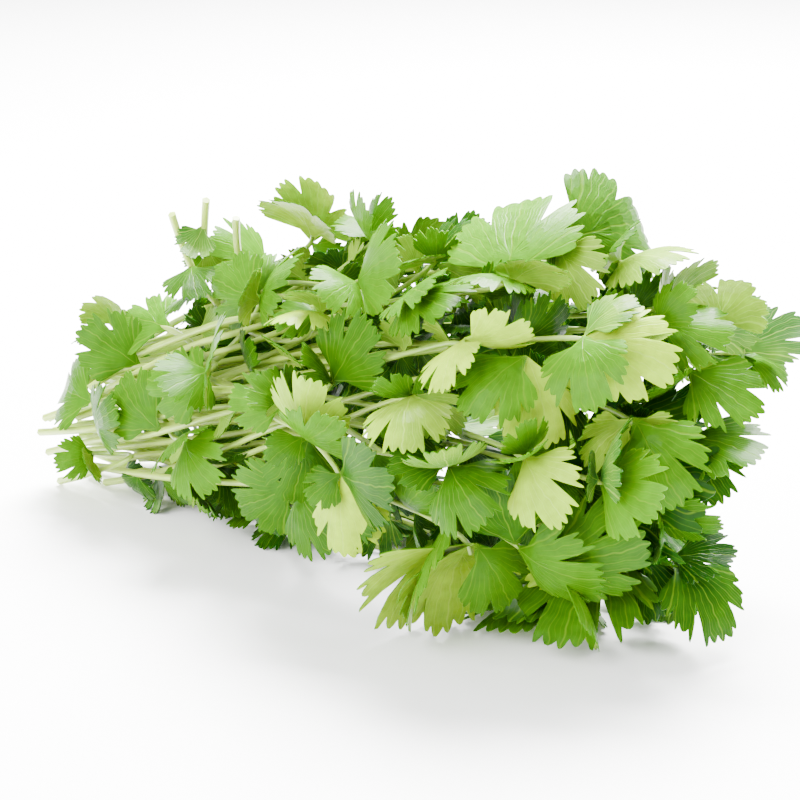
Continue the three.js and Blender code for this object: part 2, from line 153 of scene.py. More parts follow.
def outward_at(points):
    """The direction out of the heap, across its length."""
    x, y, z = np.moveaxis(points, -1, 0)
    middle, half, belly, crown, _ = section(x)
    out = np.stack([np.zeros_like(y), (y - middle) / half, (z - belly) / crown], axis=-1)
    return out / np.linalg.norm(out, axis=-1, keepdims=True)


print("the heap is", HEAP[-1, 0] - HEAP[0, 0], "mm long and", HEAP[:, 3].max(), "mm high")

# %% [markdown]
# ## From the picture into the heap
#
# The stems that show are given as they look from the camera, across and down the picture. Each such place
# is a line of sight, and the point on it is where the line first meets the heap. That puts a leaf at the
# right depth without guessing it, and it looks right from the other sides too.

# %% Lines of sight
NEAREST = 150  # from the aim towards the camera
FARTHEST = -170
SIGHT_STEP = 2
LEAST_TIP_HEIGHT = 1.0


def seen_at(place, toward):
    size = (SIGHT_DISTANCE - toward) / SIGHT_DISTANCE / SIGHT_SCALE
    across, down = place
    aim = SIGHT_AIM + SIGHT_RIGHT * (across - PICTURE_MIDDLE) * size
    return aim + SIGHT_UP * (PICTURE_MIDDLE - down) * size + SIGHT_BACK * toward


def on_heap(place, lift=0.0):
    towards = np.arange(NEAREST, FARTHEST, -SIGHT_STEP)
    points = np.array([seen_at(place, toward) for toward in towards])
    depths = np.where(points[:, 2] < 0, np.inf, depth_of(points))
    inside = np.flatnonzero(depths <= 1)
    best = inside[0] if len(inside) else int(np.argmin(depths))
    point = seen_at(place, towards[best] + lift)
    point[2] = max(point[2], LEAST_TIP_HEIGHT)
    return point


print("the picture's middle meets the heap at", on_heap((PICTURE_MIDDLE, PICTURE_MIDDLE)).round(1))

# %% [markdown]
# ## The stems that show
#
# Each entry is one stem that can be told apart in the picture, from the front of the heap to its back.
# hub is where its leaflets part, and tips are their ends, each with how far it stands out of the heap in
# millimetres, how far it is rolled over in degrees and how dark its green looks, from 0 to 1: its own
# green, and painted shade where it lies in shadow. pale numbers those that show their underside. via, by
# and butt are places that the stalk passes.

# %% Stems placed one by one
SHOWN = [
    {
        "hub": (478, 546), "lift": 10, "via": [(438, 488), (405, 470)],
        "tips": [(444, 624, 6, 0, 0.35), (402, 632, 0, 30, 0.25), (512, 606, 0, -40, 0.5)],
    },
    {
        "hub": (545, 564), "lift": 8, "via": [(492, 531)], "pale": (2,),
        "tips": [(586, 646, 4, 0, 0.12), (657, 556, 2, 20, 0.6), (674, 602, 0, -30, 0.55)],
    },
    {
        "hub": (343, 476), "lift": 10, "via": [(320, 442)], "pale": (0,),
        "tips": [(360, 558, 6, 0, 0.1), (392, 488, 0, 20, 0.85), (318, 512, 0, -20, 0.6)],
    },
    {
        "hub": (588, 336), "lift": 12, "via": [(508, 348)], "pale": (0, 2),
        "tips": [(677, 374, 10, 0, 0), (592, 410, 4, 10, 0.25), (634, 300, 2, -40, 0.9)],
    },
    {
        "hub": (530, 356), "lift": 12, "via": [(500, 340)], "pale": (0,),
        "tips": [(545, 458, 10, 5, 0.1), (472, 428, 8, 0, 0.3)],
    },
    {
        "hub": (467, 338), "lift": 12, "via": [(448, 332)], "pale": (0, 1),
        "tips": [(438, 414, 10, 0, 0), (550, 330, 4, 35, 0.05)],
    },
    {
        "hub": (447, 340), "lift": 8, "pale": (0,),
        "tips": [(388, 388, 10, 0, 0.05), (418, 318, 2, -30, 0.6)],
    },
    {
        "hub": (334, 382), "lift": 2,
        "tips": [(372, 316, 6, 0, 0.7), (312, 340, 2, 30, 0.6)],
    },
    {
        "hub": (512, 286), "lift": 4,
        "tips": [(524, 212, 8, 0, 0.05), (470, 296, 6, 30, 0.3), (548, 300, 4, -20, 0.5)],
    },
    {
        "hub": (562, 242), "lift": 4, "pale": (0, 2),
        "tips": [(598, 284, 10, 0, 0.55), (654, 226, 4, 30, 0.5), (600, 216, 0, -30, 0.8)],
    },
    {
        "hub": (415, 394), "lift": 8, "via": [(424, 380)], "pale": (0,),
        "tips": [(404, 456, 8, 0, 0.4), (366, 402, 4, 10, 0.6), (438, 420, 0, -30, 0.7)],
    },
    {
        "hub": (452, 466), "lift": 8, "pale": (0,),
        "tips": [(456, 414, 8, 0, 0.75), (388, 462, 6, 40, 0.8), (486, 524, 6, -10, 0.6)],
    },
    {
        "hub": (528, 456), "lift": 8, "via": [(512, 440)], "pale": (0,),
        "tips": [(556, 517, 8, 0, 0.2), (584, 478, 2, 20, 0.2), (502, 470, 2, -50, 0.25)],
    },
    {
        "hub": (604, 482), "lift": 4, "pale": (2,),
        "tips": [(656, 506, 8, 0, 0.05), (606, 540, 0, 20, 0.9), (612, 420, 8, -20, 0.95)],
    },
    {
        "hub": (638, 420), "lift": 4,
        "tips": [(684, 506, 6, 0, 0.3), (590, 440, 4, 40, 0.2), (668, 440, 0, -20, 0.5)],
    },
    {
        "hub": (359, 283), "lift": 6, "via": [(395, 292)], "pale": (2,),
        "tips": [(404, 256, 8, 0, 0.1), (326, 292, 8, 20, 0.15), (386, 312, 6, -10, 0.15)],
    },
    {
        "hub": (410, 296), "lift": 6,
        "tips": [(462, 308, 8, 0, 0.5), (442, 334, 6, -30, 0.5), (440, 284, 2, 30, 0.4)],
    },
    {
        "hub": (662, 326), "lift": 0,
        "tips": [(729, 338, 4, 0, 0.2), (700, 296, 2, 30, 0.3), (690, 368, 0, -30, 0.5)],
    },
    {
        "hub": (690, 372), "lift": 0,
        "tips": [(756, 416, 4, 0, 0.5), (716, 356, 2, 40, 0.4), (690, 430, 0, -20, 0.7)],
    },
    {
        "hub": (690, 438), "lift": -6,
        "tips": [(750, 452, 2, 0, 0.6), (742, 496, 2, 20, 0.7), (660, 470, 0, -20, 0.8)],
    },
    {
        "hub": (654, 498), "lift": -4,
        "tips": [(716, 526, 2, 0, 0.7), (690, 478, 0, 20, 0.7), (640, 545, 0, -20, 0.8)],
    },
    {
        "hub": (624, 262), "lift": -4, "pale": (0,),
        "tips": [(672, 274, 4, 0, 0.6), (660, 240, 2, 20, 0.4), (628, 300, 2, -20, 0.6)],
    },
    {
        "hub": (308, 438), "lift": 8, "via": [(286, 414)], "pale": (0,),
        "tips": [(314, 376, 8, 0, 0.3), (272, 460, 4, 20, 0.6), (345, 452, 4, -20, 0.4)],
    },
    {
        "hub": (286, 412), "lift": 4, "butt": (40, 432), "by": (185, 426),
        "tips": [(230, 396, 8, 0, 0.25), (266, 372, 2, 20, 0.4), (262, 440, 0, -20, 0.6)],
    },
    {
        "hub": (210, 372), "lift": 0, "butt": (95, 356), "by": (190, 304),
        "tips": [(168, 392, 6, 0, 0.4), (226, 418, 4, 20, 0.5), (222, 350, 4, -20, 0.5)],
    },
    {
        "hub": (186, 436), "lift": 2, "butt": (45, 418), "by": (172, 378),
        "tips": [(216, 490, 6, 0, 0.1), (236, 444, 0, 20, 0.4), (170, 470, 0, -20, 0.6)],
    },
    {
        "hub": (262, 300), "lift": 2, "butt": (90, 388), "by": (140, 345),
        "tips": [(232, 262, 6, 0, 0.4), (216, 342, 6, 20, 0.4), (300, 270, 2, -20, 0.4)],
    },
    {
        "hub": (322, 312), "lift": 2, "butt": (172, 214), "by": (192, 292), "pale": (0,),
        "tips": [(286, 334, 8, 20, 0.2), (330, 284, 2, 0, 0.5), (268, 322, 4, -20, 0.5)],
    },
    {
        "hub": (314, 240), "lift": -2, "butt": (206, 200), "by": (198, 290),
        "tips": [(316, 184, 0, 0, 0.2), (286, 200, 0, 40, 0.3), (346, 216, 0, -40, 0.2)],
    },
    {
        "hub": (376, 240), "lift": -2, "butt": (236, 218), "by": (228, 276),
        "tips": [(392, 208, 0, 0, 0.4), (340, 222, 0, 30, 0.3), (420, 232, 0, -30, 0.3)],
    },
    {
        "hub": (92, 448), "lift": 0, "butt": (60, 484), "by": (160, 452),
        "tips": [(62, 462, 2, 0, 0.2), (84, 480, 2, 20, 0.4)],
    },
    {
        "hub": (118, 330), "lift": -4,
        "tips": [(72, 334, 2, 0, 0.5), (150, 306, 2, 20, 0.4), (92, 366, 2, -20, 0.5)],
    },
    {
        "hub": (440, 262), "lift": -2,
        "tips": [(436, 232, 0, 0, 0.3), (466, 250, 0, -20, 0.5), (408, 256, 0, 20, 0.4)],
    },
]
KEEL_WAY = [(-152, -8, 7), (-70, -3.5, 0), (0, 0, 0), (50, 2.5, 0), (92, 8, 8)]  # the lowest stem
KEEL_ANGLE = -0.4 * math.pi  # where round the heap its leaflets spread
FILLERS = 23  # stems that fill the heap behind and under those
FILLER_FROM = -112
FILLER_TO = 126
GOLDEN = 0.618034  # steps that never come back to the same place, so the fillers spread evenly
PLASTIC = 0.754878
print("stems placed by eye:", len(SHOWN), "and by rule:", FILLERS + 1)

# %% [markdown]
# ## Draws that never change
#
# A natural heap needs chance, but the same chance each time, or the leaves would jump between two runs.
# Python's random numbers depend on how many were drawn before, so adding one leaf would move all the
# others. Here a small hash makes each number from the stem's own index instead.

# %% A repeatable draw for each stem
WORD = 0xFFFFFFFF
SEED = 0x6D2B79F5


def chance(item, draw):
    state = (item * 1000 + draw + SEED) & WORD
    state = ((state ^ (state >> 15)) * (state | 1)) & WORD
    state ^= (state + (((state ^ (state >> 7)) * (state | 61)) & WORD)) & WORD
    return ((state ^ (state >> 14)) & WORD) / (WORD + 1)


def between(low, high, item, draw):
    return mix(low, high, chance(item, draw))


print("the first draws:", [round(chance(0, draw), 3) for draw in range(4)])

# %% [markdown]
# ## The way of each stalk
#
# A stalk runs from its cut end through the middle of the bunch and then out to its leaflets. A few places
# on the way are joined by straight lines, and averaging each point with its neighbours rounds the corners,
# which is a simple way to get the slack curve of a limp stalk.

# %% Routes of the stalks
STALK_POINTS = 40
STALK_STEPS = 9  # rings of the frame's coarser stalks
BUTT_RADIUS = 1.45  # at the cut end
TIP_RADIUS = 0.85
FLAT_SPOT = 0.4  # how far the lowest stalk is pressed into the table
BUTT_FROM, BUTT_TO = -156, -128  # where the cut ends lie along X
BUTT_SPREAD = 1.3  # radians round the heap from a stem's leaves to its cut end, at most
BUTT_DEPTHS = (0.45, 0.95)  # how deep they lie, as shares of the leaves' depth
LEAST_DEPTH = 0.15
WAY_STEPS = (0.3, 0.6)  # shares of the way where the stalk passes a place inside the heap
WAY_DEPTH = 0.85
WAY_ROUNDS = 10
VIA_LIFT = -2  # how far the places given in the picture lie out of the heap
BY_LIFT = -1


def evenly(points, count):
    points = np.asarray(points, dtype=float)
    run = np.concatenate([[0], np.cumsum(np.linalg.norm(np.diff(points, axis=0), axis=1))])
    want = np.linspace(0, run[-1], count)
    return np.stack([np.interp(want, run, points[:, axis]) for axis in range(3)], axis=1)


def rounded(line, rounds, weight=0.5):
    line = line.copy()
    for _ in range(rounds):
        middle = (line[:-2] + line[2:]) / 2
        line[1:-1] = line[1:-1] + weight * (middle - line[1:-1])
    return line


def stalk_radius(share):
    return mix(BUTT_RADIUS, TIP_RADIUS, share)


def stalk_route(item, hub, butt=None, by=None, via=()):
    angle, share = heap_place(hub)
    spread = between(-BUTT_SPREAD, BUTT_SPREAD, item, 1)
    depth = min(max(share, LEAST_DEPTH), 1) * between(*BUTT_DEPTHS, item, 2)
    start = on_heap(butt) if butt else heap_point(between(BUTT_FROM, BUTT_TO, item, 0), angle + spread, depth)
    inner = []
    for step in WAY_STEPS:
        deep = mix(depth, WAY_DEPTH * share, step * step)
        inner.append(heap_point(mix(start[0], hub[0], step), angle + spread * (1 - step), deep))
    seen = [on_heap(place, VIA_LIFT) for place in via][::-1]
    passed = [on_heap(by, BY_LIFT)] + inner[1:] if by else inner
    way = evenly([start, *passed, *seen, hub], STALK_POINTS)
    return evenly(rounded(way, WAY_ROUNDS), STALK_POINTS)


def low_knot(route):
    """The place one ring before the tip, where the lower leaflets grow."""
    return evenly(route, STALK_STEPS)[-2]


print("a stalk's radius goes from", BUTT_RADIUS, "to", TIP_RADIUS, "mm")

# %% [markdown]
# ## What each stem asks for
#
# A stem asks for leaflets by the places of their tips. A stem in the list above has them from the picture. A
# leaflet that looks short there is not small, it points towards the camera, so its tip is moved nearer
# until it has a natural length. The other stems spread a fan of three leaflets and a pair lower down.

# %% Leaflets asked for
LEAST_LENGTH = 26  # a listed leaflet gets at least about this length
TIP_NEARER = 0.85  # share of the missing length that its tip is moved towards the camera
HUB_SUNK = 8  # hubs lie so much deeper than their lift says
FAN_LENGTHS = (24, 31)
SIDE_SHARE = 0.92  # a side leaflet's length as a share of a middle one's
FAN_WIDTH = 1.5
END_TURNS = (0, 1, -1)  # the leaflets at the tip, from the middle to the sides
LOW_TURNS = (1.3, -1.3)  # and the pair lower down
OUTER_ANGLES = (-0.6, 0.75)  # half turns round the heap between which the outer fillers lie
OUTER_DEPTH = 0.82
INNER_DEPTH = 0.5
ALONG = np.array([1.0, 0.0, 0.0])


def leaned(hub, tip):
    missing = LEAST_LENGTH**2 - np.sum((hub - tip) ** 2)
    return tip + SIGHT_BACK * TIP_NEARER * math.sqrt(missing) if missing > 0 else tip


def shown_stem(item, shown):
    hub = on_heap(shown["hub"], shown["lift"] - HUB_SUNK)
    route = stalk_route(item, hub, shown.get("butt"), shown.get("by"), shown.get("via", ()))
    asked = [
        {"tip": leaned(hub, on_heap(place, lift)), "roll": math.radians(roll), "shown": True, "tint": tint}
        for *place, lift, roll, tint in shown["tips"]
    ]
    for number in shown.get("pale", ()):
        asked[number]["pale"] = True
    return {"item": item, "route": route, "asked": asked, "fixed": False}


def fan(item, start, angle, turns, low):
    """Leaflets that fan out forwards and outwards from a place on a stalk."""
    outward = np.array([0, math.cos(angle), math.sin(angle)])
    sideways = np.cross(outward, ALONG)
    ahead = ALONG * between(0.4, 1, item, 3) + outward * between(0.25, 0.7, item, 4)
    ahead = unit(ahead + sideways * between(-0.7, 0.7, item, 5))
    side = unit(np.cross(ahead, outward))
    asked = []
    for i, turn in enumerate(turns):
        length = between(*FAN_LENGTHS, item, 6 + i + 3 * low) * (SIDE_SHARE if turn else 1)
        tip = start + unit(ahead + side * FAN_WIDTH * turn) * length
        asked.append({"tip": tip, "roll": 0.0, "low": low})
    return asked


def filler_tips(item, route, angle):
    end = fan(item, route[-1], angle, END_TURNS, False)
    return end + fan(item, low_knot(route), angle, LOW_TURNS, True)


def keel_stem(item):
    route = evenly(rounded(evenly(KEEL_WAY, STALK_POINTS), 3), STALK_POINTS)
    route[:, 2] = np.maximum(route[:, 2], stalk_radius(np.linspace(0, 1, STALK_POINTS)) - FLAT_SPOT)
    return {"item": item, "route": route, "asked": filler_tips(item, route, KEEL_ANGLE), "fixed": True}


def filler_stem(item, k):
    outer = k % 3 != 2  # every third one lies deep inside
    x = mix(FILLER_FROM, FILLER_TO, (k * GOLDEN + 0.3) % 1)
    turn = (k * PLASTIC) % 1
    angle = mix(*OUTER_ANGLES, turn) * math.pi if outer else 2 * math.pi * turn
    route = stalk_route(item, heap_point(x, angle, OUTER_DEPTH if outer else INNER_DEPTH))
    return {"item": item, "route": route, "asked": filler_tips(item, route, angle), "fixed": False}


stems = [shown_stem(item, shown) for item, shown in enumerate(SHOWN)]
stems.append(keel_stem(len(stems)))
stems += [filler_stem(len(SHOWN) + 1 + k, k) for k in range(FILLERS)]
print("leaflets asked for:", sum(len(stem["asked"]) for stem in stems))

# %% [markdown]
# ## Laying the stalks beside each other
#
# The routes still pass through each other. Each round of this loop finds all places where two stalks are
# too close and pushes both a little apart, sideways, and keeps them above the table. Between rounds the
# stalks are smoothed, so they bend round each other instead of kinking. numpy compares all points of all
# stalks at once, which is far faster than a loop over pairs.

# %% Push the stalks apart
STALK_PITCH = 5.3  # least distance between two routes
LAY_ROUNDS = 170
LAY_STILL = 40  # the last of them, with no more smoothing
LAY_BIAS = 0.6  # how far a push leans out of the heap
LAY_SMOOTHING = 0.3
PUSH_SHARE = 0.45  # of what is missing, each of the two stalks moves so much
MOST_PUSH = 3.0
LEAST_APART = 1e-6  # points nearer than this have no direction to be pushed in


def squared_distances(a, b):
    return np.sum(a**2, axis=1)[:, None] + np.sum(b**2, axis=1)[None, :] - 2 * a @ b.T


def lay_stalks(stems):
    routes = np.array([stem["route"] for stem in stems])
    fixed = np.array([stem["fixed"] for stem in stems])
    owner = np.repeat(np.arange(len(stems)), STALK_POINTS)
    later = owner[:, None] < owner[None, :]
    floor = stalk_radius(np.linspace(0, 1, STALK_POINTS))
    for turn in range(LAY_ROUNDS):
        points = routes.reshape(-1, 3)
        near = (squared_distances(points, points) < STALK_PITCH**2) & later
        first, second = np.nonzero(near)
        apart = points[first] - points[second]
        distance = np.linalg.norm(apart, axis=1)
        kept = distance >= LEAST_APART
        first, second, apart, distance = first[kept], second[kept], apart[kept], distance[kept]
        ways = routes[:, -1] - routes[:, 0]
        ways = (ways / np.linalg.norm(ways, axis=1, keepdims=True))[owner[first]]
        push = apart / distance[:, None] + LAY_BIAS * outward_at(points[first])
        push -= ways * np.sum(push * ways, axis=1, keepdims=True)
        push *= (PUSH_SHARE * (STALK_PITCH - distance) / np.linalg.norm(push, axis=1))[:, None]
        pushes = np.zeros_like(points)
        np.add.at(pushes, first, push * np.where(fixed[owner[second]], 2, 1)[:, None])
        np.add.at(pushes, second, -push * np.where(fixed[owner[first]], 2, 1)[:, None])
        size = np.linalg.norm(pushes, axis=1, keepdims=True)
        pushes *= np.minimum(1, MOST_PUSH / np.maximum(size, 1e-12))
        moved = (points + pushes).reshape(routes.shape)
        moved[:, :, 2] = np.maximum(moved[:, :, 2], floor)
        if turn < LAY_ROUNDS - LAY_STILL:
            middle = (moved[:, :-2] + moved[:, 2:]) / 2
            moved[:, 1:-1] += LAY_SMOOTHING * (middle - moved[:, 1:-1])
        routes = np.where(fixed[:, None, None], routes, moved)
    for stem, route in zip(stems, routes):
        stem["route"] = route


lay_stalks(stems)
print("highest stalk point:", round(max(stem["route"][:, 2].max() for stem in stems), 1), "mm")

# %% [markdown]
# ## A leaflet as a bent surface
#
# A coriander leaflet is thin and limp, so it arches, cups and waves. Here a flat outline is bent by a short
# formula: two numbers say where a point is along and across the leaflet, and the formula gives how far it
# stands out. A coarse set of such points is enough to find out whether the leaflet has room.

# %% The bent leaflet
HUB_SHARE = 0.25  # where the veins part, as a share of the length
COARSE_HALF = [(0.28, 0.2), (0.4, 0.47), (0.66, 0.46), (0.54, 0.17), (0.88, 0.21)]
COARSE_RIM = np.array(
    [(0, 0)] + [(along, -across) for along, across in COARSE_HALF] + [(1, 0)] + COARSE_HALF[::-1]
)
RINGS = (0.4, 0.65, 0.85, 1)
ROOT_DEPTH = 1.4  # how deep a leaflet's base sits in the stalk's tip
ROOT_REACH = 8  # leaflets of one stem may touch so near to their base
SHORTEST_BLADE = 15
WAVES = 3.0  # in a full turn round the base


def coarse_places():
    hub = np.array([HUB_SHARE, 0.0])
    return np.concatenate([[hub]] + [hub + (COARSE_RIM - hub) * share for share in RINGS])


def bulge(places, bends):
    u, v = places[:, 0], places[:, 1]
    wave = bends["wave"] * (u * u + v * v) * np.sin(WAVES * np.arctan2(v, u + 1e-9) + bends["phase"])
    return bends["arch"] * 4 * u * (1 - u) - bends["cup"] * 4 * v * v + wave


def make_blade(base, tip, facing, bends):
    along = tip - base
    length = np.linalg.norm(along)
    along = along / length
    out = unit(facing - along * (facing @ along))
    side = np.cross(out, along)
    blade = {"base": base, "along": along, "out": out, "length": length, **bends}

    def at(places):
        u, v = places[:, :1], places[:, 1:]
        return base + length * (u * along + v * side + bulge(places, bends)[:, None] * out)

    blade["points"] = at(coarse_places())
    blade["centre"] = at(np.array([[0.5, 0.0]]))[0]
    blade["free"] = blade["points"][np.linalg.norm(blade["points"] - base, axis=1) > ROOT_REACH]
    return blade


print("a leaflet is felt at", len(coarse_places()), "points")

# %% [markdown]
# ## Letting the leaflets find room
#
# Leaves in a heap do not pass through each other, and where they do in a model, the eye sees it at once.
# So each leaflet is tried as asked for, and if it would touch other leaves or another stem's stalk, it is
# swung, twisted and shortened a little more, until it fits or is left out.

# %% Try the leaflets one by one
TRIES = 30
SWING_STEP = 2.6  # degrees that a leaflet swings further with each turn
TWIST_STEP = 5.0  # and that it rolls further
SHRINK_STEP = 0.014  # and the share of its length that it loses
BLADE_CLEARANCE = 3.3  # least distance between points of two leaflets
STALK_CLEARANCE = 3.6  # between points of a leaflet and of a stalk
SISTER_CLEARANCE = 2.4  # and between points of two leaflets of one stem
CENTRE_REACH = 0.62  # no point is farther from a leaflet's centre than this share of its length
LOWEST_POINT = -0.9  # a leaflet may dip so far into the table, and is pressed flat on it later
LEAN_AHEAD = 0.15  # how far leaflets face along the bunch
FACE_SHOWN = 0.9  # how far the listed ones face the camera
FACE_OTHERS = 0.1
FLAT_HEIGHTS = (-22, -4)  # tips from 22 down to 4 mm over the table turn their leaflets more and more flat
BENDS = {"arch": (0.05, 0.16), "cup": (0.02, 0.2), "wave": (0.03, 0.09), "phase": (0, 6.28)}
UP = np.array([0.0, 0.0, 1.0])


def turned(vector, axis, angle):
    """The vector turned about a unit axis."""
    cosine, sine = math.cos(angle), math.sin(angle)
    return vector * cosine + np.cross(axis, vector) * sine + axis * (axis @ vector) * (1 - cosine)


def smooth_step(value, low, high):
    share = min(max((value - low) / (high - low), 0), 1)
    return share * share * (3 - 2 * share)


def blade_for(stem, ask, number, attempt):
    route = stem["route"]
    base = ask.get("base")
    if base is None:
        base = low_knot(route) if ask.get("low") else route[-1] + unit(route[-2] - route[-1]) * ROOT_DEPTH
    item = stem["item"] * 10 + number
    swing = math.radians(SWING_STEP * attempt) * (1 if chance(item, 20 + attempt) > 0.5 else -1)
    twist = math.radians(TWIST_STEP * attempt) * (1 if chance(item, 50 + attempt) > 0.5 else -1)
    reach = ask["tip"] - base
    facing = outward_at(base + reach * 0.5) + ALONG * LEAN_AHEAD
    facing = unit(facing + SIGHT_BACK * (FACE_SHOWN if ask.get("shown") else FACE_OTHERS))
    facing = unit(mix(facing, UP, smooth_step(-ask["tip"][2], *FLAT_HEIGHTS)))
    length = max(np.linalg.norm(reach) * (1 - SHRINK_STEP * attempt), SHORTEST_BLADE)
    way = unit(reach)
    hinge = facing if attempt % 2 else unit(np.cross(way, facing))
    way = turned(way, hinge, swing)
    facing = turned(facing, way, ask["roll"] + twist)
    bends = {name: between(*ends, item, 80 + i) for i, (name, ends) in enumerate(BENDS.items())}
    return make_blade(base, base + way * length, facing, bends)


def nearest_squared(points, others):
    return squared_distances(points, others).min() if len(others) else np.inf


def close_by(blade, leaf, clearance):
    reach = CENTRE_REACH * (blade["length"] + leaf["length"])
    return math.dist(blade["centre"], leaf["centre"]) <= reach + clearance


def fits(blade, stem, stems, clearance):
    if blade["points"][:, 2].min() < LOWEST_POINT:
        return False
    if any(nearest_squared(blade["free"], leaf["free"]) < SISTER_CLEARANCE**2 for leaf in stem["blades"]):
        return False
    others = [other for other in stems if other is not stem]
    stalks = np.concatenate([other["route"] for other in others])
    if nearest_squared(blade["points"], stalks) < STALK_CLEARANCE**2:
        return False
    leaves = [leaf for other in others for leaf in other["blades"] if close_by(blade, leaf, clearance)]
    if not leaves:
        return True
    points = np.concatenate([leaf["points"] for leaf in leaves])
    return nearest_squared(blade["points"], points) >= clearance**2


def turned_over(blade):
    """The same bent surface with its upper side on the other face."""
    other = {name: -blade[name] for name in ("out", "arch", "cup", "phase")}
    return {**blade, **other}


def grow(stem, ask, number, clearance, allowed=lambda blade: True, turns=TRIES):
    for attempt in range(turns):
        blade = blade_for(stem, ask, number, attempt)
        if allowed(blade) and fits(blade, stem, stems, clearance):
            blade["tint"] = ask.get("tint", between(0.3, 1, stem["item"] * 30 + number, 96))
            stem["blades"].append(turned_over(blade) if ask.get("pale") else blade)
            return True
    return False


for stem in stems:
    stem["blades"] = []
for stem in stems:
    stem["left_over"] = [
        ask for number, ask in enumerate(stem["asked"]) if not grow(stem, ask, number, BLADE_CLEARANCE)
    ]
print("leaflets with room:", sum(len(stem["blades"]) for stem in stems))

# %% [markdown]
# ## The rest of the leaves
#
# The frame holds only as many leaflets as a light model can. A real bunch is fuller. The fine leaves are
# thin, so some that found no room before get a second chance with less air round them. Then more leaflets
# grow from knots along the stalks, by the same rule, into the gaps that are left, as long as they stay in
# the heap. They are what makes it look dense and dark inside. Last, leaflets deep in the heap are given a
# darker green, painted shade that makes the inside darker still.

# %% Fill the gaps
# tips of leaflets that the picture shows besides those: across, down, lift, roll, depth of green (its own
# green and painted shade)
BY_EYE = [
    (560, 650, 14, 0, 0.15), (530, 628, 10, 20, 0.3), (640, 618, 10, -20, 0.5),
    (416, 640, 10, 20, 0.3), (480, 632, 12, -10, 0.35), (604, 596, 8, 10, 0.55),
    (206, 240, 0, 0, 0.0), (244, 244, 0, 20, 0.3), (282, 238, 0, -20, 0.5),
    (226, 272, 2, 10, 0.1), (264, 282, 2, 0, 0.4), (80, 326, 0, 10, 0.5),
    (126, 312, 0, -10, 0.3), (62, 384, 0, 0, 0.4), (84, 366, 2, 20, 0.6),
    (72, 420, 2, 0, 0.5), (100, 492, 2, 0, 0.5), (76, 484, 2, -20, 0.3),
    (130, 402, 3, 10, 0.7), (118, 378, 3, -10, 0.5), (150, 432, 3, 0, 0.6),
    (140, 462, 3, 10, 0.7), (188, 470, 3, -20, 0.4), (172, 350, 3, 10, 0.6),
    (150, 380, 3, 0, 0.3), (196, 410, 3, 20, 0.5), (236, 508, 3, 0, 0.6),
    (274, 500, 3, 10, 0.7), (640, 236, 2, 10, 0.4), (740, 440, 2, 0, 0.5),
    (722, 500, 2, 0, 0.7), (700, 404, 4, 10, 0.4), (494, 470, 4, 0, 0.8),
    (430, 480, 4, 10, 0.6), (336, 552, 4, 0, 0.6), (372, 540, 4, -10, 0.8),
]
NATURAL_LENGTH = 29
KNOTS_TRIED = 14  # stalk places tried for a listed leaflet
KNOT_TRIES = 6  # and turns at each
MORE_TRIES_PER_STEM = 16
LOW_TRIES_PER_STEM = 5  # after those, near the cut ends
MORE_LENGTHS = (22, 31)
FIRST_KNOT = 3  # no leaflet grows nearer to the cut end
TOWARDS_TIP = 0.7  # under 1, more knots lie towards the tip
FILL_CLEARANCE = 1.9
LEFT_OVER, MORE, EYED = 200, 300, 400  # the first numbers of these leaflets, which keep their draws apart
HEAP_REACH = 1.02  # how far out these leaflets stand, 1 being the heap's surface
KNOT_REACH = 0.08  # and how far further than the stalk, where that lies outside itself
FILL_END = 124  # and how far along X
SHADE_DEPTHS = (0.55, 1.0)  # painted shade: leaflets go from the darkest green at the first depth to their own at the second


def knots_for(tip):
    """Places on the stalks from which a leaflet of a natural length reaches the tip."""
    knots = [
        (abs(math.dist(stem["route"][index], tip) - NATURAL_LENGTH), stem["item"], index)
        for stem in stems
        for index in range(FIRST_KNOT, STALK_POINTS - 1, 2)
    ]
    return [(stems[item], stems[item]["route"][index]) for _, item, index in sorted(knots)[:KNOTS_TRIED]]


def grow_by_eye(number, across, down, lift, roll, tint):
    tip = on_heap((across, down), lift)
    ask = {"tip": tip, "roll": math.radians(roll), "shown": True, "tint": tint}
    for stem, knot in knots_for(tip):
        if grow(stem, {**ask, "base": knot}, EYED + number, FILL_CLEARANCE, turns=KNOT_TRIES):
            return True
    return False


def more_asks(stem):
    asked = []
    for k in range(MORE_TRIES_PER_STEM + LOW_TRIES_PER_STEM):
        item = stem["item"] * 20 + k + 3000
        last = STALK_POINTS - 2 if k < MORE_TRIES_PER_STEM else STALK_POINTS // 3
        index = int(mix(FIRST_KNOT, last, chance(item, 1) ** TOWARDS_TIP))
        knot = stem["route"][index]
        onward = unit(stem["route"][index + 1] - knot)
        outward = outward_at(knot)
        sideways = np.cross(onward, outward)
        way = onward * between(0.2, 1, item, 2) + outward * between(0.2, 1.1, item, 3)
        way = unit(way + sideways * between(-1.1, 1.1, item, 4))
        tip = knot + way * between(*MORE_LENGTHS, item, 5)
        asked.append({"tip": tip, "roll": between(-0.5, 0.5, item, 6), "base": knot})
    return asked


def stays_in(blade):
    reach = max(HEAP_REACH, depth_of(blade["base"]) + KNOT_REACH)
    return np.all(depth_of(blade["free"]) < reach) and np.all(blade["free"][:, 0] < FILL_END)


framed = sum(len(stem["blades"]) for stem in stems)
for stem in stems:
    for k, ask in enumerate(stem["left_over"]):
        grow(stem, ask, LEFT_OVER + k, FILL_CLEARANCE)
by_eye = [grow_by_eye(number, *row) for number, row in enumerate(BY_EYE)]
for stem in stems:
    for k, ask in enumerate(more_asks(stem)):
        grow(stem, ask, MORE + k, FILL_CLEARANCE, stays_in)
# Painted shade: the deeper a leaflet lies in the heap, the nearer its green comes to the darkest end.
for stem in stems:
    for blade in stem["blades"]:
        shade = 1 - smooth_step(float(depth_of(blade["centre"])), *SHADE_DEPTHS)
        blade["tint"] = mix(blade["tint"], 1, shade)
total = sum(len(stem["blades"]) for stem in stems)
print("leaflets from the frame:", framed, "by eye:", sum(by_eye), "of", len(by_eye), "and in all:", total)

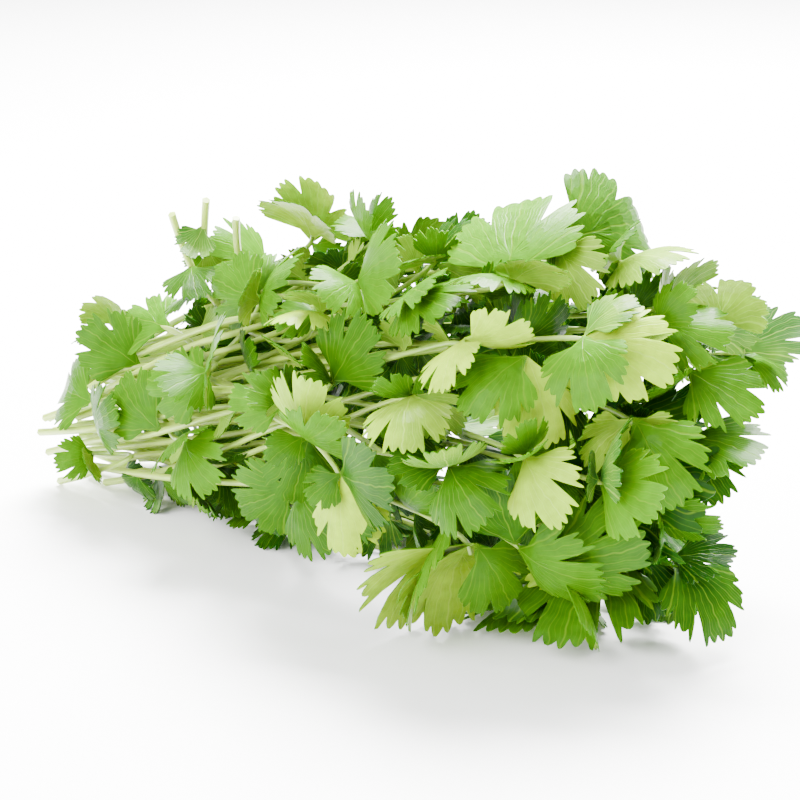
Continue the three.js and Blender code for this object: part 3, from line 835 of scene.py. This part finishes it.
# %% [markdown]
# ## The cut edge of a leaflet
#
# A coriander leaflet is a wedge that opens into a round fan of three lobes, with small rounded teeth all
# round it and a narrow slit between two lobes. It could be cut from an image of a leaf, but a mesh edge
# stays sharp from close by. Seen from a centre near the base, each tooth and each notch lies in a
# direction of its own, and how far out it lies follows from that by one formula.

# %% The flat leaflets
FAN_CENTRE = 0.13  # along the leaflet, in shares of its length, as all lengths here
FAN_REACH = 0.87
FAN_ROUNDNESS = 1.7  # how slowly the fan narrows from its middle to its sides
TURN_DRAW = 0.9  # degrees that a tooth or notch may lie off its place
DEPTH_DRAW = 0.04  # and how far a tooth may stand out or back
TOOTH_TURNS = (0, 8, 16, 29, 37, 45, 54, 62, 70)  # degrees to each side of the leaflet's middle line
NOTCH_TURNS = (4, 12, 22.5, 33, 41, 49.5, 58, 66, 75)  # the notch behind each tooth
NOTCH_DEPTHS = (0.065, 0.07, 0.34, 0.07, 0.075, 0.22, 0.07, 0.07, 0.1)
WEDGE = (0.17, 0.13)  # on the straight edge from there to the base
BASE_HALF = 0.012
ARC_STEPS = 5  # edges to a tooth
LEAF_SHARES = (0.0, 0.27, 0.52, 0.74, 0.9, 1.0)  # the rings of the mesh, from the hub out to the rim
# how far the fan spreads, how deep its notches are and how much it narrows to its sides
LEAF_KINDS = [(0.96, 1.0, 0.6), (1.0, 1.2, 0.66), (0.9, 0.85, 0.52), (0.98, 1.4, 0.6)]


def fan_point(turn, depth, kind, draw):
    spread, _, narrowing = LEAF_KINDS[kind]
    turn += between(-TURN_DRAW, TURN_DRAW, kind * 40 + draw, 91) if turn else 0
    reach = FAN_REACH * (1 - narrowing * (abs(turn) / 90) ** FAN_ROUNDNESS) * (1 - depth)
    angle = math.radians(turn * spread)
    return np.array([FAN_CENTRE + reach * math.cos(angle), reach * math.sin(angle)])


def arc(start, tip, end):
    """A rounded tooth: a parabola from notch to notch that passes the tooth's tip."""
    control = 2 * tip - (start + end) / 2
    steps = [k / ARC_STEPS for k in range(ARC_STEPS)]
    return [(1 - t) ** 2 * start + 2 * t * (1 - t) * control + t * t * end for t in steps]


def half_edge(kind):
    """The notches and teeth of one side, from the leaflet's tip back to its base."""
    teeth = []
    for i, (tooth, notch, depth) in enumerate(zip(TOOTH_TURNS, NOTCH_TURNS, NOTCH_DEPTHS)):
        stand = between(-DEPTH_DRAW, DEPTH_DRAW, kind * 40 + i, 92) if i else 0.0
        behind = fan_point(notch, depth * LEAF_KINDS[kind][1], kind, i + 20)
        teeth.append((fan_point(tooth, stand, kind, i), behind))
    return teeth


def leaf_rim(kind):
    left = half_edge(kind)
    flip = np.array([1, -1])
    right = [(tooth * flip, notch * flip) for tooth, notch in half_edge((kind + 1) % len(LEAF_KINDS))]
    rim = [np.array([0.0, BASE_HALF]), np.array([0.0, -BASE_HALF]), np.array(WEDGE) * flip]
    for i in range(len(right) - 1, 0, -1):
        rim += arc(right[i][1], right[i][0], right[i - 1][1])
    rim += arc(right[0][1], left[0][0], left[0][1])
    for i in range(1, len(left)):
        rim += arc(left[i - 1][1], left[i][0], left[i][1])
    return np.array(rim + [left[-1][1], np.array(WEDGE)])


def flat_leaflet(kind):
    rim = leaf_rim(kind)
    hub = np.array([HUB_SHARE, 0.0])
    places = [hub] + [hub + (corner - hub) * share for share in LEAF_SHARES[1:] for corner in rim]
    count = len(rim)
    faces = [(0, 1 + i, 1 + (i + 1) % count) for i in range(count)]
    for ring in range(len(LEAF_SHARES) - 2):
        inner = 1 + ring * count
        for i in range(count):
            j = (i + 1) % count
            faces.append((inner + i, inner + count + i, inner + count + j, inner + j))
    mesh = bpy.data.meshes.new(f"flat_leaflet_{kind}")
    mesh.from_pydata([(u, v, 0) for u, v in places], [], faces)
    flat = mesh.attributes.new("flat", "FLOAT_VECTOR", "POINT")
    flat.data.foreach_set("vector", np.array([(u, v, 0) for u, v in places]).ravel())
    return mesh


flat_collection = bpy.data.collections.new("flat_leaflets")
for kind in range(len(LEAF_KINDS)):
    flat_object = bpy.data.objects.new(f"flat_leaflet_{kind}", flat_leaflet(kind))
    flat_collection.objects.link(flat_object)
    print(flat_object.name, len(flat_object.data.polygons), "faces")

# %% [markdown]
# ## Leaf colours
#
# The upper side of a leaflet is a saturated yellow-green with fine paler veins, and the underside is paler
# and matt. Light also comes through a thin leaf, which gives the glowing yellow-green of a heap lit from
# behind. Subsurface scattering does that, because each blade is a thin closed shell. The veins fan out from
# the leaflet's base, so they are drawn in the leaflet's own flat coordinates, by their angle from there.

# %% Node helpers
def feed(tree, node, values):
    """Link a node's inputs to sockets, or set them to values."""
    for key, value in values.items():
        if isinstance(value, bpy.types.NodeSocket):
            tree.links.new(value, node.inputs[key])
        else:
            node.inputs[key].default_value = value


def put(tree, kind, values=None, **settings):
    node = tree.nodes.new(kind)
    for name, value in settings.items():
        setattr(node, name, value)
    feed(tree, node, values or {})
    return node


def sums(tree, operation, a, b=0.0, **settings):
    return put(tree, "ShaderNodeMath", {0: a, 1: b}, operation=operation, **settings).outputs[0]


def times(tree, a, b):
    return sums(tree, "MULTIPLY", a, b)


def plus(tree, a, b, **settings):
    return sums(tree, "ADD", a, b, **settings)


def minus(tree, a, b):
    return sums(tree, "SUBTRACT", a, b)


def blended(tree, share, low, high, blend="MIX"):
    node = put(tree, "ShaderNodeMix", {0: share, 6: low, 7: high}, data_type="RGBA", blend_type=blend)
    return node.outputs[2]


def new_material(name):
    material = bpy.data.materials.new(name)
    material.use_nodes = True
    tree = material.node_tree
    tree.nodes.clear()
    shader = put(tree, "ShaderNodeBsdfPrincipled")
    put(tree, "ShaderNodeOutputMaterial", {"Surface": shader.outputs[0]})
    return material, tree, shader


# %% Veins
VEIN_START = 0.06  # the place along the leaflet that they fan out from
VEIN_WANDER = 0.14
VEIN_NOISE = 5.0
MAIN_VEINS, MAIN_WIDTH = 3.75, 0.014
SIDE_VEINS, SIDE_WIDTH, SIDE_STRENGTH = 22.0, 0.009, 0.75
FINE_VEINS, FINE_WIDTH, FINE_STRENGTH = 66.0, 0.005, 0.4
SIDE_FROM, SIDE_FULL = 0.25, 0.5  # side veins come in between these distances from the base
FINE_FROM, FINE_FULL = 0.5, 0.7


def fan_of_veins(tree, angle, reach, count, width):
    """1 on lines that fan out from the leaflet's base, count of them in half a turn, 0 between them."""
    across = sums(tree, "ABSOLUTE", sums(tree, "SINE", times(tree, angle, count)))
    away = sums(tree, "DIVIDE", times(tree, across, reach), count)
    ends = {0: away, 1: 0.0, 2: width, 3: 1.0, 4: 0.0}
    return put(tree, "ShaderNodeMapRange", ends, interpolation_type="SMOOTHSTEP").outputs[0]


def vein_mask(tree, flat):
    parts = put(tree, "ShaderNodeSeparateXYZ", {0: flat}).outputs
    noise = {"Vector": flat, "Scale": VEIN_NOISE, "Detail": 1.0}
    bend = put(tree, "ShaderNodeTexNoise", noise).outputs["Fac"]
    along = minus(tree, parts[0], VEIN_START)
    wander = times(tree, minus(tree, bend, 0.5), VEIN_WANDER)
    angle = plus(tree, sums(tree, "ARCTAN2", parts[1], along), wander)
    reach = put(tree, "ShaderNodeVectorMath", {0: flat}, operation="LENGTH").outputs["Value"]
    seen = [fan_of_veins(tree, angle, reach, MAIN_VEINS, MAIN_WIDTH)]
    for count, width, share, start, full in (
        (SIDE_VEINS, SIDE_WIDTH, SIDE_STRENGTH, SIDE_FROM, SIDE_FULL),
        (FINE_VEINS, FINE_WIDTH, FINE_STRENGTH, FINE_FROM, FINE_FULL),
    ):
        lines = times(tree, fan_of_veins(tree, angle, reach, count, width), share)
        come_in = put(tree, "ShaderNodeMapRange", {0: reach, 1: start, 2: full, 3: 0.0, 4: 1.0}).outputs[0]
        seen.append(times(tree, lines, come_in))
    main, side, fine = seen
    return sums(tree, "MAXIMUM", main, sums(tree, "MAXIMUM", side, fine))


print("vein fans:", MAIN_VEINS, SIDE_VEINS, FINE_VEINS)


# %% Leaf materials
LEAF_ROUGHNESS = 0.3
LEAF_SHINE = 0.045
MOTTLE_SCALE = 260.0  # spots of a few millimetres
PATCH_SCALE = 55.0  # and patches as large as half a leaflet
PATCH_SHARE = 0.7  # how much of the range from the light to the dark end a patch covers
MOTTLE_RANGE = {1: 0.35, 2: 0.7, 3: 0.86, 4: 1.14}  # from these noise values to these brightnesses


def leaf_material(name, young, old_and_shaded, vein, vein_share):
    """A leaf's skin. Its colours run from young leaflets to aged ones, the range that single leaflets vary
    in.
    The dark end is also painted shade for leaflets deep in the heap.
    """
    material, tree, shader = new_material(name)
    flat = put(tree, "ShaderNodeAttribute", attribute_name="flat").outputs["Vector"]
    tint = put(tree, "ShaderNodeAttribute", attribute_name="tint").outputs["Fac"]
    place = put(tree, "ShaderNodeTexCoord").outputs["Object"]
    spots = {"Vector": place, "Scale": MOTTLE_SCALE, "Detail": 4.0}
    mottle = put(tree, "ShaderNodeTexNoise", spots).outputs["Fac"]
    larger = {"Vector": place, "Scale": PATCH_SCALE, "Detail": 2.0}
    patches = put(tree, "ShaderNodeTexNoise", larger).outputs["Fac"]
    uneven = times(tree, minus(tree, patches, 0.5), PATCH_SHARE)
    share = plus(tree, tint, uneven, use_clamp=True)
    base = blended(tree, share, young, old_and_shaded)
    worn = put(tree, "ShaderNodeMapRange", {0: mottle, **MOTTLE_RANGE}).outputs[0]
    worn_grey = put(tree, "ShaderNodeCombineColor", {0: worn, 1: worn, 2: worn}).outputs[0]
    base = blended(tree, 1.0, base, worn_grey, "MULTIPLY")
    veins = vein_mask(tree, flat)
    colour = blended(tree, times(tree, veins, vein_share), base, vein)
    swell = minus(tree, mottle, times(tree, veins, 0.8))
    bump = put(tree, "ShaderNodeBump", {"Height": swell, "Strength": 0.35, "Distance": 0.3 * MM})
    skin = {"Base Color": colour, "Roughness": LEAF_ROUGHNESS, "Specular IOR Level": LEAF_SHINE}
    flesh = {"Subsurface Weight": 0.5, "Subsurface Radius": (0.6, 1.0, 0.1), "Subsurface Scale": 0.7 * MM}
    feed(tree, shader, {**skin, **flesh, "Normal": bump.outputs[0]})
    return material


# The second colour of each leaf material is its dark end: aged leaflets, and painted shade for leaflets deep
# in the heap.
leaf_upper = leaf_material(
    "leaf_upper", (0.047, 0.155, 0.0004, 1), (0.003, 0.032, 0.0005, 1), (0.1, 0.19, 0.004, 1), 0.55
)
leaf_under = leaf_material(
    "leaf_under", (0.25, 0.4, 0.007, 1), (0.024, 0.1, 0.01, 1), (0.27, 0.4, 0.045, 1), 0.6
)


# %% Stalk material
STALK_PALE, STALK_GREEN = (0.3, 0.42, 0.035, 1), (0.1, 0.21, 0.004, 1)
STREAK_COLOUR = (0.42, 0.52, 0.12, 1)
STREAK_SCALE = 900.0
STREAK_SQUEEZE = (0.06, 1.0, 1.0)  # streaks run along the bunch


def stalk_material():
    """Pale and watery at the cut end, greener towards the leaves, with fine streaks along it."""
    material, tree, shader = new_material("stalk_skin")
    share = put(tree, "ShaderNodeAttribute", attribute_name="share").outputs["Fac"]
    tint = put(tree, "ShaderNodeAttribute", attribute_name="tint").outputs["Fac"]
    place = put(tree, "ShaderNodeTexCoord").outputs["Object"]
    squeezed = put(tree, "ShaderNodeMapping", {"Vector": place, "Scale": STREAK_SQUEEZE}).outputs[0]
    fibres = {"Vector": squeezed, "Scale": STREAK_SCALE, "Detail": 3.0}
    streak = put(tree, "ShaderNodeTexNoise", fibres).outputs["Fac"]
    by_place = times(tree, share, 0.75)
    greener = plus(tree, by_place, times(tree, tint, 0.35), use_clamp=True)
    base = blended(tree, greener, STALK_PALE, STALK_GREEN)
    colour = blended(tree, times(tree, streak, 0.35), base, STREAK_COLOUR)
    bump = put(tree, "ShaderNodeBump", {"Height": streak, "Strength": 0.3, "Distance": 0.2 * MM})
    flesh = {"Subsurface Weight": 0.5, "Subsurface Radius": (0.8, 1.0, 0.35), "Subsurface Scale": 2.0 * MM}
    feed(tree, shader, {"Base Color": colour, "Roughness": 0.36, **flesh, "Normal": bump.outputs[0]})
    return material


stalk_skin = stalk_material()
print("materials:", leaf_upper.name, leaf_under.name, stalk_skin.name)

# %% [markdown]
# ## One tree for every stem
#
# All stems follow one rule, so one Geometry Nodes tree makes them all. A stem object holds its stalk as a
# line of points, and a second object holds one point for each leaflet, with the leaflet's direction and
# bends as attributes. The tree sweeps a ribbed round section along the line, puts a flat leaflet on each
# point, bends it with the same formula as above, and gives it a thickness.

# %% The leafy stem tree
BLADE_THICKNESS = 0.32 * MM
STALK_SIDES = 10
STALK_RIBS = 5
RIB_DEPTH = 0.07
RUFFLES = 11.0  # fine waves in a full turn round the base
RUFFLE = 0.012  # and their height
WELD = 0.001 * MM
LOWEST = 0.45 * MM  # a blade's lower skin lies at least so high over the table
TABLE_GAP = 0.02 * MM  # and a stalk's


def add_inputs(tree, inputs):
    tree.interface.new_socket("Geometry", in_out="INPUT", socket_type="NodeSocketGeometry")
    for name, kind in inputs:
        tree.interface.new_socket(name, in_out="INPUT", socket_type=kind)
    tree.interface.new_socket("Geometry", in_out="OUTPUT", socket_type="NodeSocketGeometry")
    return put(tree, "NodeGroupInput").outputs


def named(tree, name, kind="FLOAT"):
    return put(tree, "GeometryNodeInputNamedAttribute", {"Name": name}, data_type=kind).outputs["Attribute"]


def arrows(tree, operation, a, b=None, scale=None):
    values = {0: a}
    if b is not None:
        values[1] = b
    if scale is not None:
        values["Scale"] = scale
    return put(tree, "ShaderNodeVectorMath", values, operation=operation).outputs["Vector"]


def swept_stalk(tree, given):
    round_section = {"Resolution": STALK_SIDES, "Radius": 1.0}
    circle = put(tree, "GeometryNodeCurvePrimitiveCircle", round_section).outputs["Curve"]
    place = put(tree, "GeometryNodeInputPosition").outputs[0]
    parts = put(tree, "ShaderNodeSeparateXYZ", {0: place}).outputs
    turn = sums(tree, "ARCTAN2", parts[1], parts[0])
    ridges = sums(tree, "COSINE", times(tree, turn, float(STALK_RIBS)))
    rib = times(tree, ridges, given["Rib depth"])
    ribbed = put(
        tree,
        "GeometryNodeSetPosition",
        {"Geometry": circle, "Offset": arrows(tree, "SCALE", place, scale=rib)},
    ).outputs[0]
    line = put(tree, "GeometryNodeMeshToCurve", {"Mesh": given["Geometry"]}).outputs[0]
    swept = put(
        tree,
        "GeometryNodeCurveToMesh",
        {"Curve": line, "Profile Curve": ribbed, "Scale": named(tree, "radius"), "Fill Caps": True},
    ).outputs[0]
    spot = put(tree, "GeometryNodeInputPosition").outputs[0]
    above = arrows(tree, "MAXIMUM", spot, (-1.0, -1.0, TABLE_GAP))
    pressed = put(tree, "GeometryNodeSetPosition", {"Geometry": swept, "Position": above}).outputs[0]
    skin = {"Geometry": pressed, "Material": given["Stalk skin"]}
    return put(tree, "GeometryNodeSetMaterial", skin).outputs[0]


def bulge_nodes(tree, u, v):
    """The bulge formula as nodes, with a fine ruffle added near the edge."""
    reach = plus(tree, times(tree, u, u), times(tree, v, v))
    turn = sums(tree, "ARCTAN2", v, plus(tree, u, 1e-9))
    arch = times(tree, times(tree, u, minus(tree, 1.0, u)), 4.0)
    cup = times(tree, times(tree, v, v), 4.0)
    swing, quick = (
        sums(tree, "SINE", plus(tree, times(tree, turn, count), named(tree, "phase")))
        for count in (WAVES, RUFFLES)
    )
    high = times(tree, arch, named(tree, "arch"))
    high = minus(tree, high, times(tree, cup, named(tree, "cup")))
    wave = times(tree, times(tree, reach, swing), named(tree, "wave"))
    ruffle = times(tree, times(tree, reach, quick), RUFFLE)
    return plus(tree, plus(tree, high, wave), ruffle)


def bent_leaflets(tree, given):
    points = put(tree, "GeometryNodeObjectInfo", {"Object": given["Leaf points"]}).outputs["Geometry"]
    points = put(tree, "GeometryNodeMeshToPoints", {"Mesh": points}).outputs[0]
    flats = put(
        tree, "GeometryNodeCollectionInfo", {"Collection": given["Flat leaflets"], "Separate Children": True}
    ).outputs[0]
    kind = named(tree, "kind", "INT")
    given_flats = {"Points": points, "Instance": flats, "Pick Instance": True, "Instance Index": kind}
    placed = put(tree, "GeometryNodeInstanceOnPoints", given_flats).outputs[0]
    real = put(tree, "GeometryNodeRealizeInstances", {"Geometry": placed}).outputs[0]
    flat = named(tree, "flat", "FLOAT_VECTOR")
    parts = put(tree, "ShaderNodeSeparateXYZ", {0: flat}).outputs
    along = named(tree, "along", "FLOAT_VECTOR")
    out = named(tree, "out", "FLOAT_VECTOR")
    side = arrows(tree, "CROSS_PRODUCT", out, along)
    onward = arrows(tree, "SCALE", along, scale=parts[0])
    spot = arrows(tree, "ADD", onward, arrows(tree, "SCALE", side, scale=parts[1]))
    spot = arrows(tree, "ADD", spot, arrows(tree, "SCALE", out, scale=bulge_nodes(tree, parts[0], parts[1])))
    spot = arrows(tree, "SCALE", spot, scale=named(tree, "length"))
    spot = arrows(tree, "ADD", spot, named(tree, "base", "FLOAT_VECTOR"))
    spot = arrows(tree, "MAXIMUM", spot, (-1.0, -1.0, LOWEST))
    return put(tree, "GeometryNodeSetPosition", {"Geometry": real, "Position": spot}).outputs[0]


def thickened(tree, sheet, given):
    push = {"Mesh": sheet, "Offset Scale": given["Blade thickness"], "Individual": False}
    raised = put(tree, "GeometryNodeExtrudeMesh", push).outputs
    flat_edge = {0: raised["Mesh"], 1: raised["Side"], 2: False}
    upper = put(tree, "GeometryNodeSetShadeSmooth", flat_edge).outputs[0]
    upper = put(tree, "GeometryNodeSetMaterial", {"Geometry": upper, "Material": given["Upper skin"]})
    lower = put(tree, "GeometryNodeFlipFaces", {0: sheet}).outputs[0]
    lower = put(tree, "GeometryNodeSetMaterial", {"Geometry": lower, "Material": given["Under skin"]})
    both = put(tree, "GeometryNodeJoinGeometry")
    for half in (lower, upper):
        tree.links.new(half.outputs[0], both.inputs[0])
    closed = {"Geometry": both.outputs[0], "Distance": WELD}
    return put(tree, "GeometryNodeMergeByDistance", closed).outputs[0]


def leafy_stem_tree():
    tree = bpy.data.node_groups.new("leafy_stem", "GeometryNodeTree")
    given = add_inputs(
        tree,
        [
            ("Leaf points", "NodeSocketObject"),
            ("Flat leaflets", "NodeSocketCollection"),
            ("Blade thickness", "NodeSocketFloat"),
            ("Rib depth", "NodeSocketFloat"),
            ("Upper skin", "NodeSocketMaterial"),
            ("Under skin", "NodeSocketMaterial"),
            ("Stalk skin", "NodeSocketMaterial"),
        ],
    )
    stalk = swept_stalk(tree, given)
    leaves = thickened(tree, bent_leaflets(tree, given), given)
    whole = put(tree, "GeometryNodeJoinGeometry")
    for half in (leaves, stalk):
        tree.links.new(half, whole.inputs[0])
    put(tree, "NodeGroupOutput", {0: whole.outputs[0]})
    return tree


stem_tree = leafy_stem_tree()
print("the leafy stem tree has", len(stem_tree.nodes), "nodes")

# %% [markdown]
# ## From the layout to meshes
#
# Each stem's line and leaf points become two small meshes, the modifier turns them into the finished stem,
# and the result is kept as a plain mesh that stands for the frame's own stem.

# %% Make the stems
FINE_STALK_POINTS = 64
FINE_ROUNDS = 6
TIP_OVERLAP = 0.12  # how far the stalk runs on into its end leaflet, as a share of it


def fine_stalk(stem):
    route = stem["route"] * MM
    if stem["blades"]:
        end = stem["blades"][0]
        if np.linalg.norm(end["base"] - stem["route"][-1]) < 2 * ROOT_DEPTH:
            tip = (end["base"] + end["along"] * end["length"] * TIP_OVERLAP) * MM
            route = np.concatenate([route, [tip]])
    return evenly(rounded(evenly(route, FINE_STALK_POINTS), FINE_ROUNDS), FINE_STALK_POINTS)


def add_attribute(mesh, name, kind, values):
    attribute = mesh.attributes.new(name, kind, "POINT")
    field = "vector" if kind == "FLOAT_VECTOR" else "value"
    attribute.data.foreach_set(field, np.asarray(values).ravel())


def stalk_line(stem):
    line = fine_stalk(stem)
    mesh = bpy.data.meshes.new("stalk_line")
    mesh.from_pydata(line.tolist(), [(i, i + 1) for i in range(len(line) - 1)], [])
    share = np.linspace(0, 1, len(line))
    add_attribute(mesh, "share", "FLOAT", share)
    add_attribute(mesh, "radius", "FLOAT", stalk_radius(share) * MM)
    add_attribute(mesh, "tint", "FLOAT", np.full(len(line), chance(stem["item"], 95)))
    return mesh


def leaf_points(stem):
    blades = stem["blades"]
    mesh = bpy.data.meshes.new("leaf_points")
    mesh.from_pydata([(blade["base"] * MM).tolist() for blade in blades], [], [])
    add_attribute(mesh, "base", "FLOAT_VECTOR", [blade["base"] * MM for blade in blades])
    add_attribute(mesh, "length", "FLOAT", [blade["length"] * MM for blade in blades])
    for name in ("along", "out"):
        add_attribute(mesh, name, "FLOAT_VECTOR", [blade[name] for blade in blades])
    for name in ("arch", "cup", "wave", "phase", "tint"):
        add_attribute(mesh, name, "FLOAT", [blade[name] for blade in blades])
    kinds = [chance(stem["item"] * 30 + number, 97) * len(LEAF_KINDS) for number in range(len(blades))]
    add_attribute(mesh, "kind", "INT", [int(kind) for kind in kinds])
    return mesh


def leafy_stem(stem, name):
    leaves = bpy.data.objects.new(f"{name}_leaf_points", leaf_points(stem))
    line = bpy.data.objects.new(f"{name}_line", stalk_line(stem))
    bpy.context.scene.collection.objects.link(line)
    modifier = line.modifiers.new("leafy_stem", "NODES")
    modifier.node_group = stem_tree
    values = {
        "Leaf points": leaves,
        "Flat leaflets": flat_collection,
        "Blade thickness": BLADE_THICKNESS,
        "Rib depth": RIB_DEPTH,
        "Upper skin": leaf_upper,
        "Under skin": leaf_under,
        "Stalk skin": stalk_skin,
    }
    for item in stem_tree.interface.items_tree:
        if item.in_out == "INPUT" and item.name in values:
            modifier[item.identifier] = values[item.name]
    return line, leaves


helpers = [leafy_stem(stem, f"stem_{i + 1:02d}") for i, stem in enumerate(stems)]
graph = bpy.context.evaluated_depsgraph_get()
stem_meshes = [bpy.data.meshes.new_from_object(line.evaluated_get(graph)) for line, _ in helpers]
for line, leaves in helpers:
    bpy.data.objects.remove(line)
    bpy.data.objects.remove(leaves)
triangles = 0
for mesh, node in zip(stem_meshes, stem_nodes):
    piece = bpy.data.objects.new(f"fresh_{node}", mesh)
    bpy.context.scene.collection.objects.link(piece)
    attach(piece, "root")
    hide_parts(node)
    mesh.calc_loop_triangles()
    triangles += len(mesh.loop_triangles)
print("stems made:", len(stem_meshes), "with", triangles, "triangles")

# %% [markdown]
# ## Floor and light
#
# The bunch lies on a plain white table in a bright, soft studio light, which leaves only a faint shadow.
# A large soft light from behind lets the leaves glow, one from the front left fills them, and a pale sky
# lights everything else.

# %% Floor and lights
FLOOR_HALF = 6.0
SKY_STRENGTH = 1.9
LIGHT_AIM = (0, 0, 0.05)


def area_light(name, place, size, power):
    light = bpy.data.lights.new(name, "AREA")
    light.size = size
    light.energy = power
    lamp = bpy.data.objects.new(name, light)
    lamp.location = place
    lamp.rotation_euler = (Vector(place) - Vector(LIGHT_AIM)).to_track_quat("Z", "Y").to_euler()
    bpy.context.scene.collection.objects.link(lamp)


floor_mesh = bpy.data.meshes.new("floor")
corners = [(x * FLOOR_HALF, y * FLOOR_HALF, 0) for x, y in ((-1, -1), (1, -1), (1, 1), (-1, 1))]
floor_mesh.from_pydata(corners, [], [(0, 1, 2, 3)])
floor = bpy.data.objects.new("floor", floor_mesh)
bpy.context.scene.collection.objects.link(floor)
floor_material, floor_tree, floor_shader = new_material("floor_white")
feed(floor_tree, floor_shader, {"Base Color": (0.95, 0.95, 0.95, 1), "Roughness": 0.6})
floor_mesh.materials.append(floor_material)

world = bpy.data.worlds.new("studio")
bpy.context.scene.world = world
world.use_nodes = True
sky = {"Color": (1, 1, 1, 1), "Strength": SKY_STRENGTH}
feed(world.node_tree, world.node_tree.nodes["Background"], sky)
area_light("back_light", (-0.3, 0.8, 1.3), 0.9, 420)
area_light("front_light", (-0.2, -1.3, 0.9), 1.1, 75)
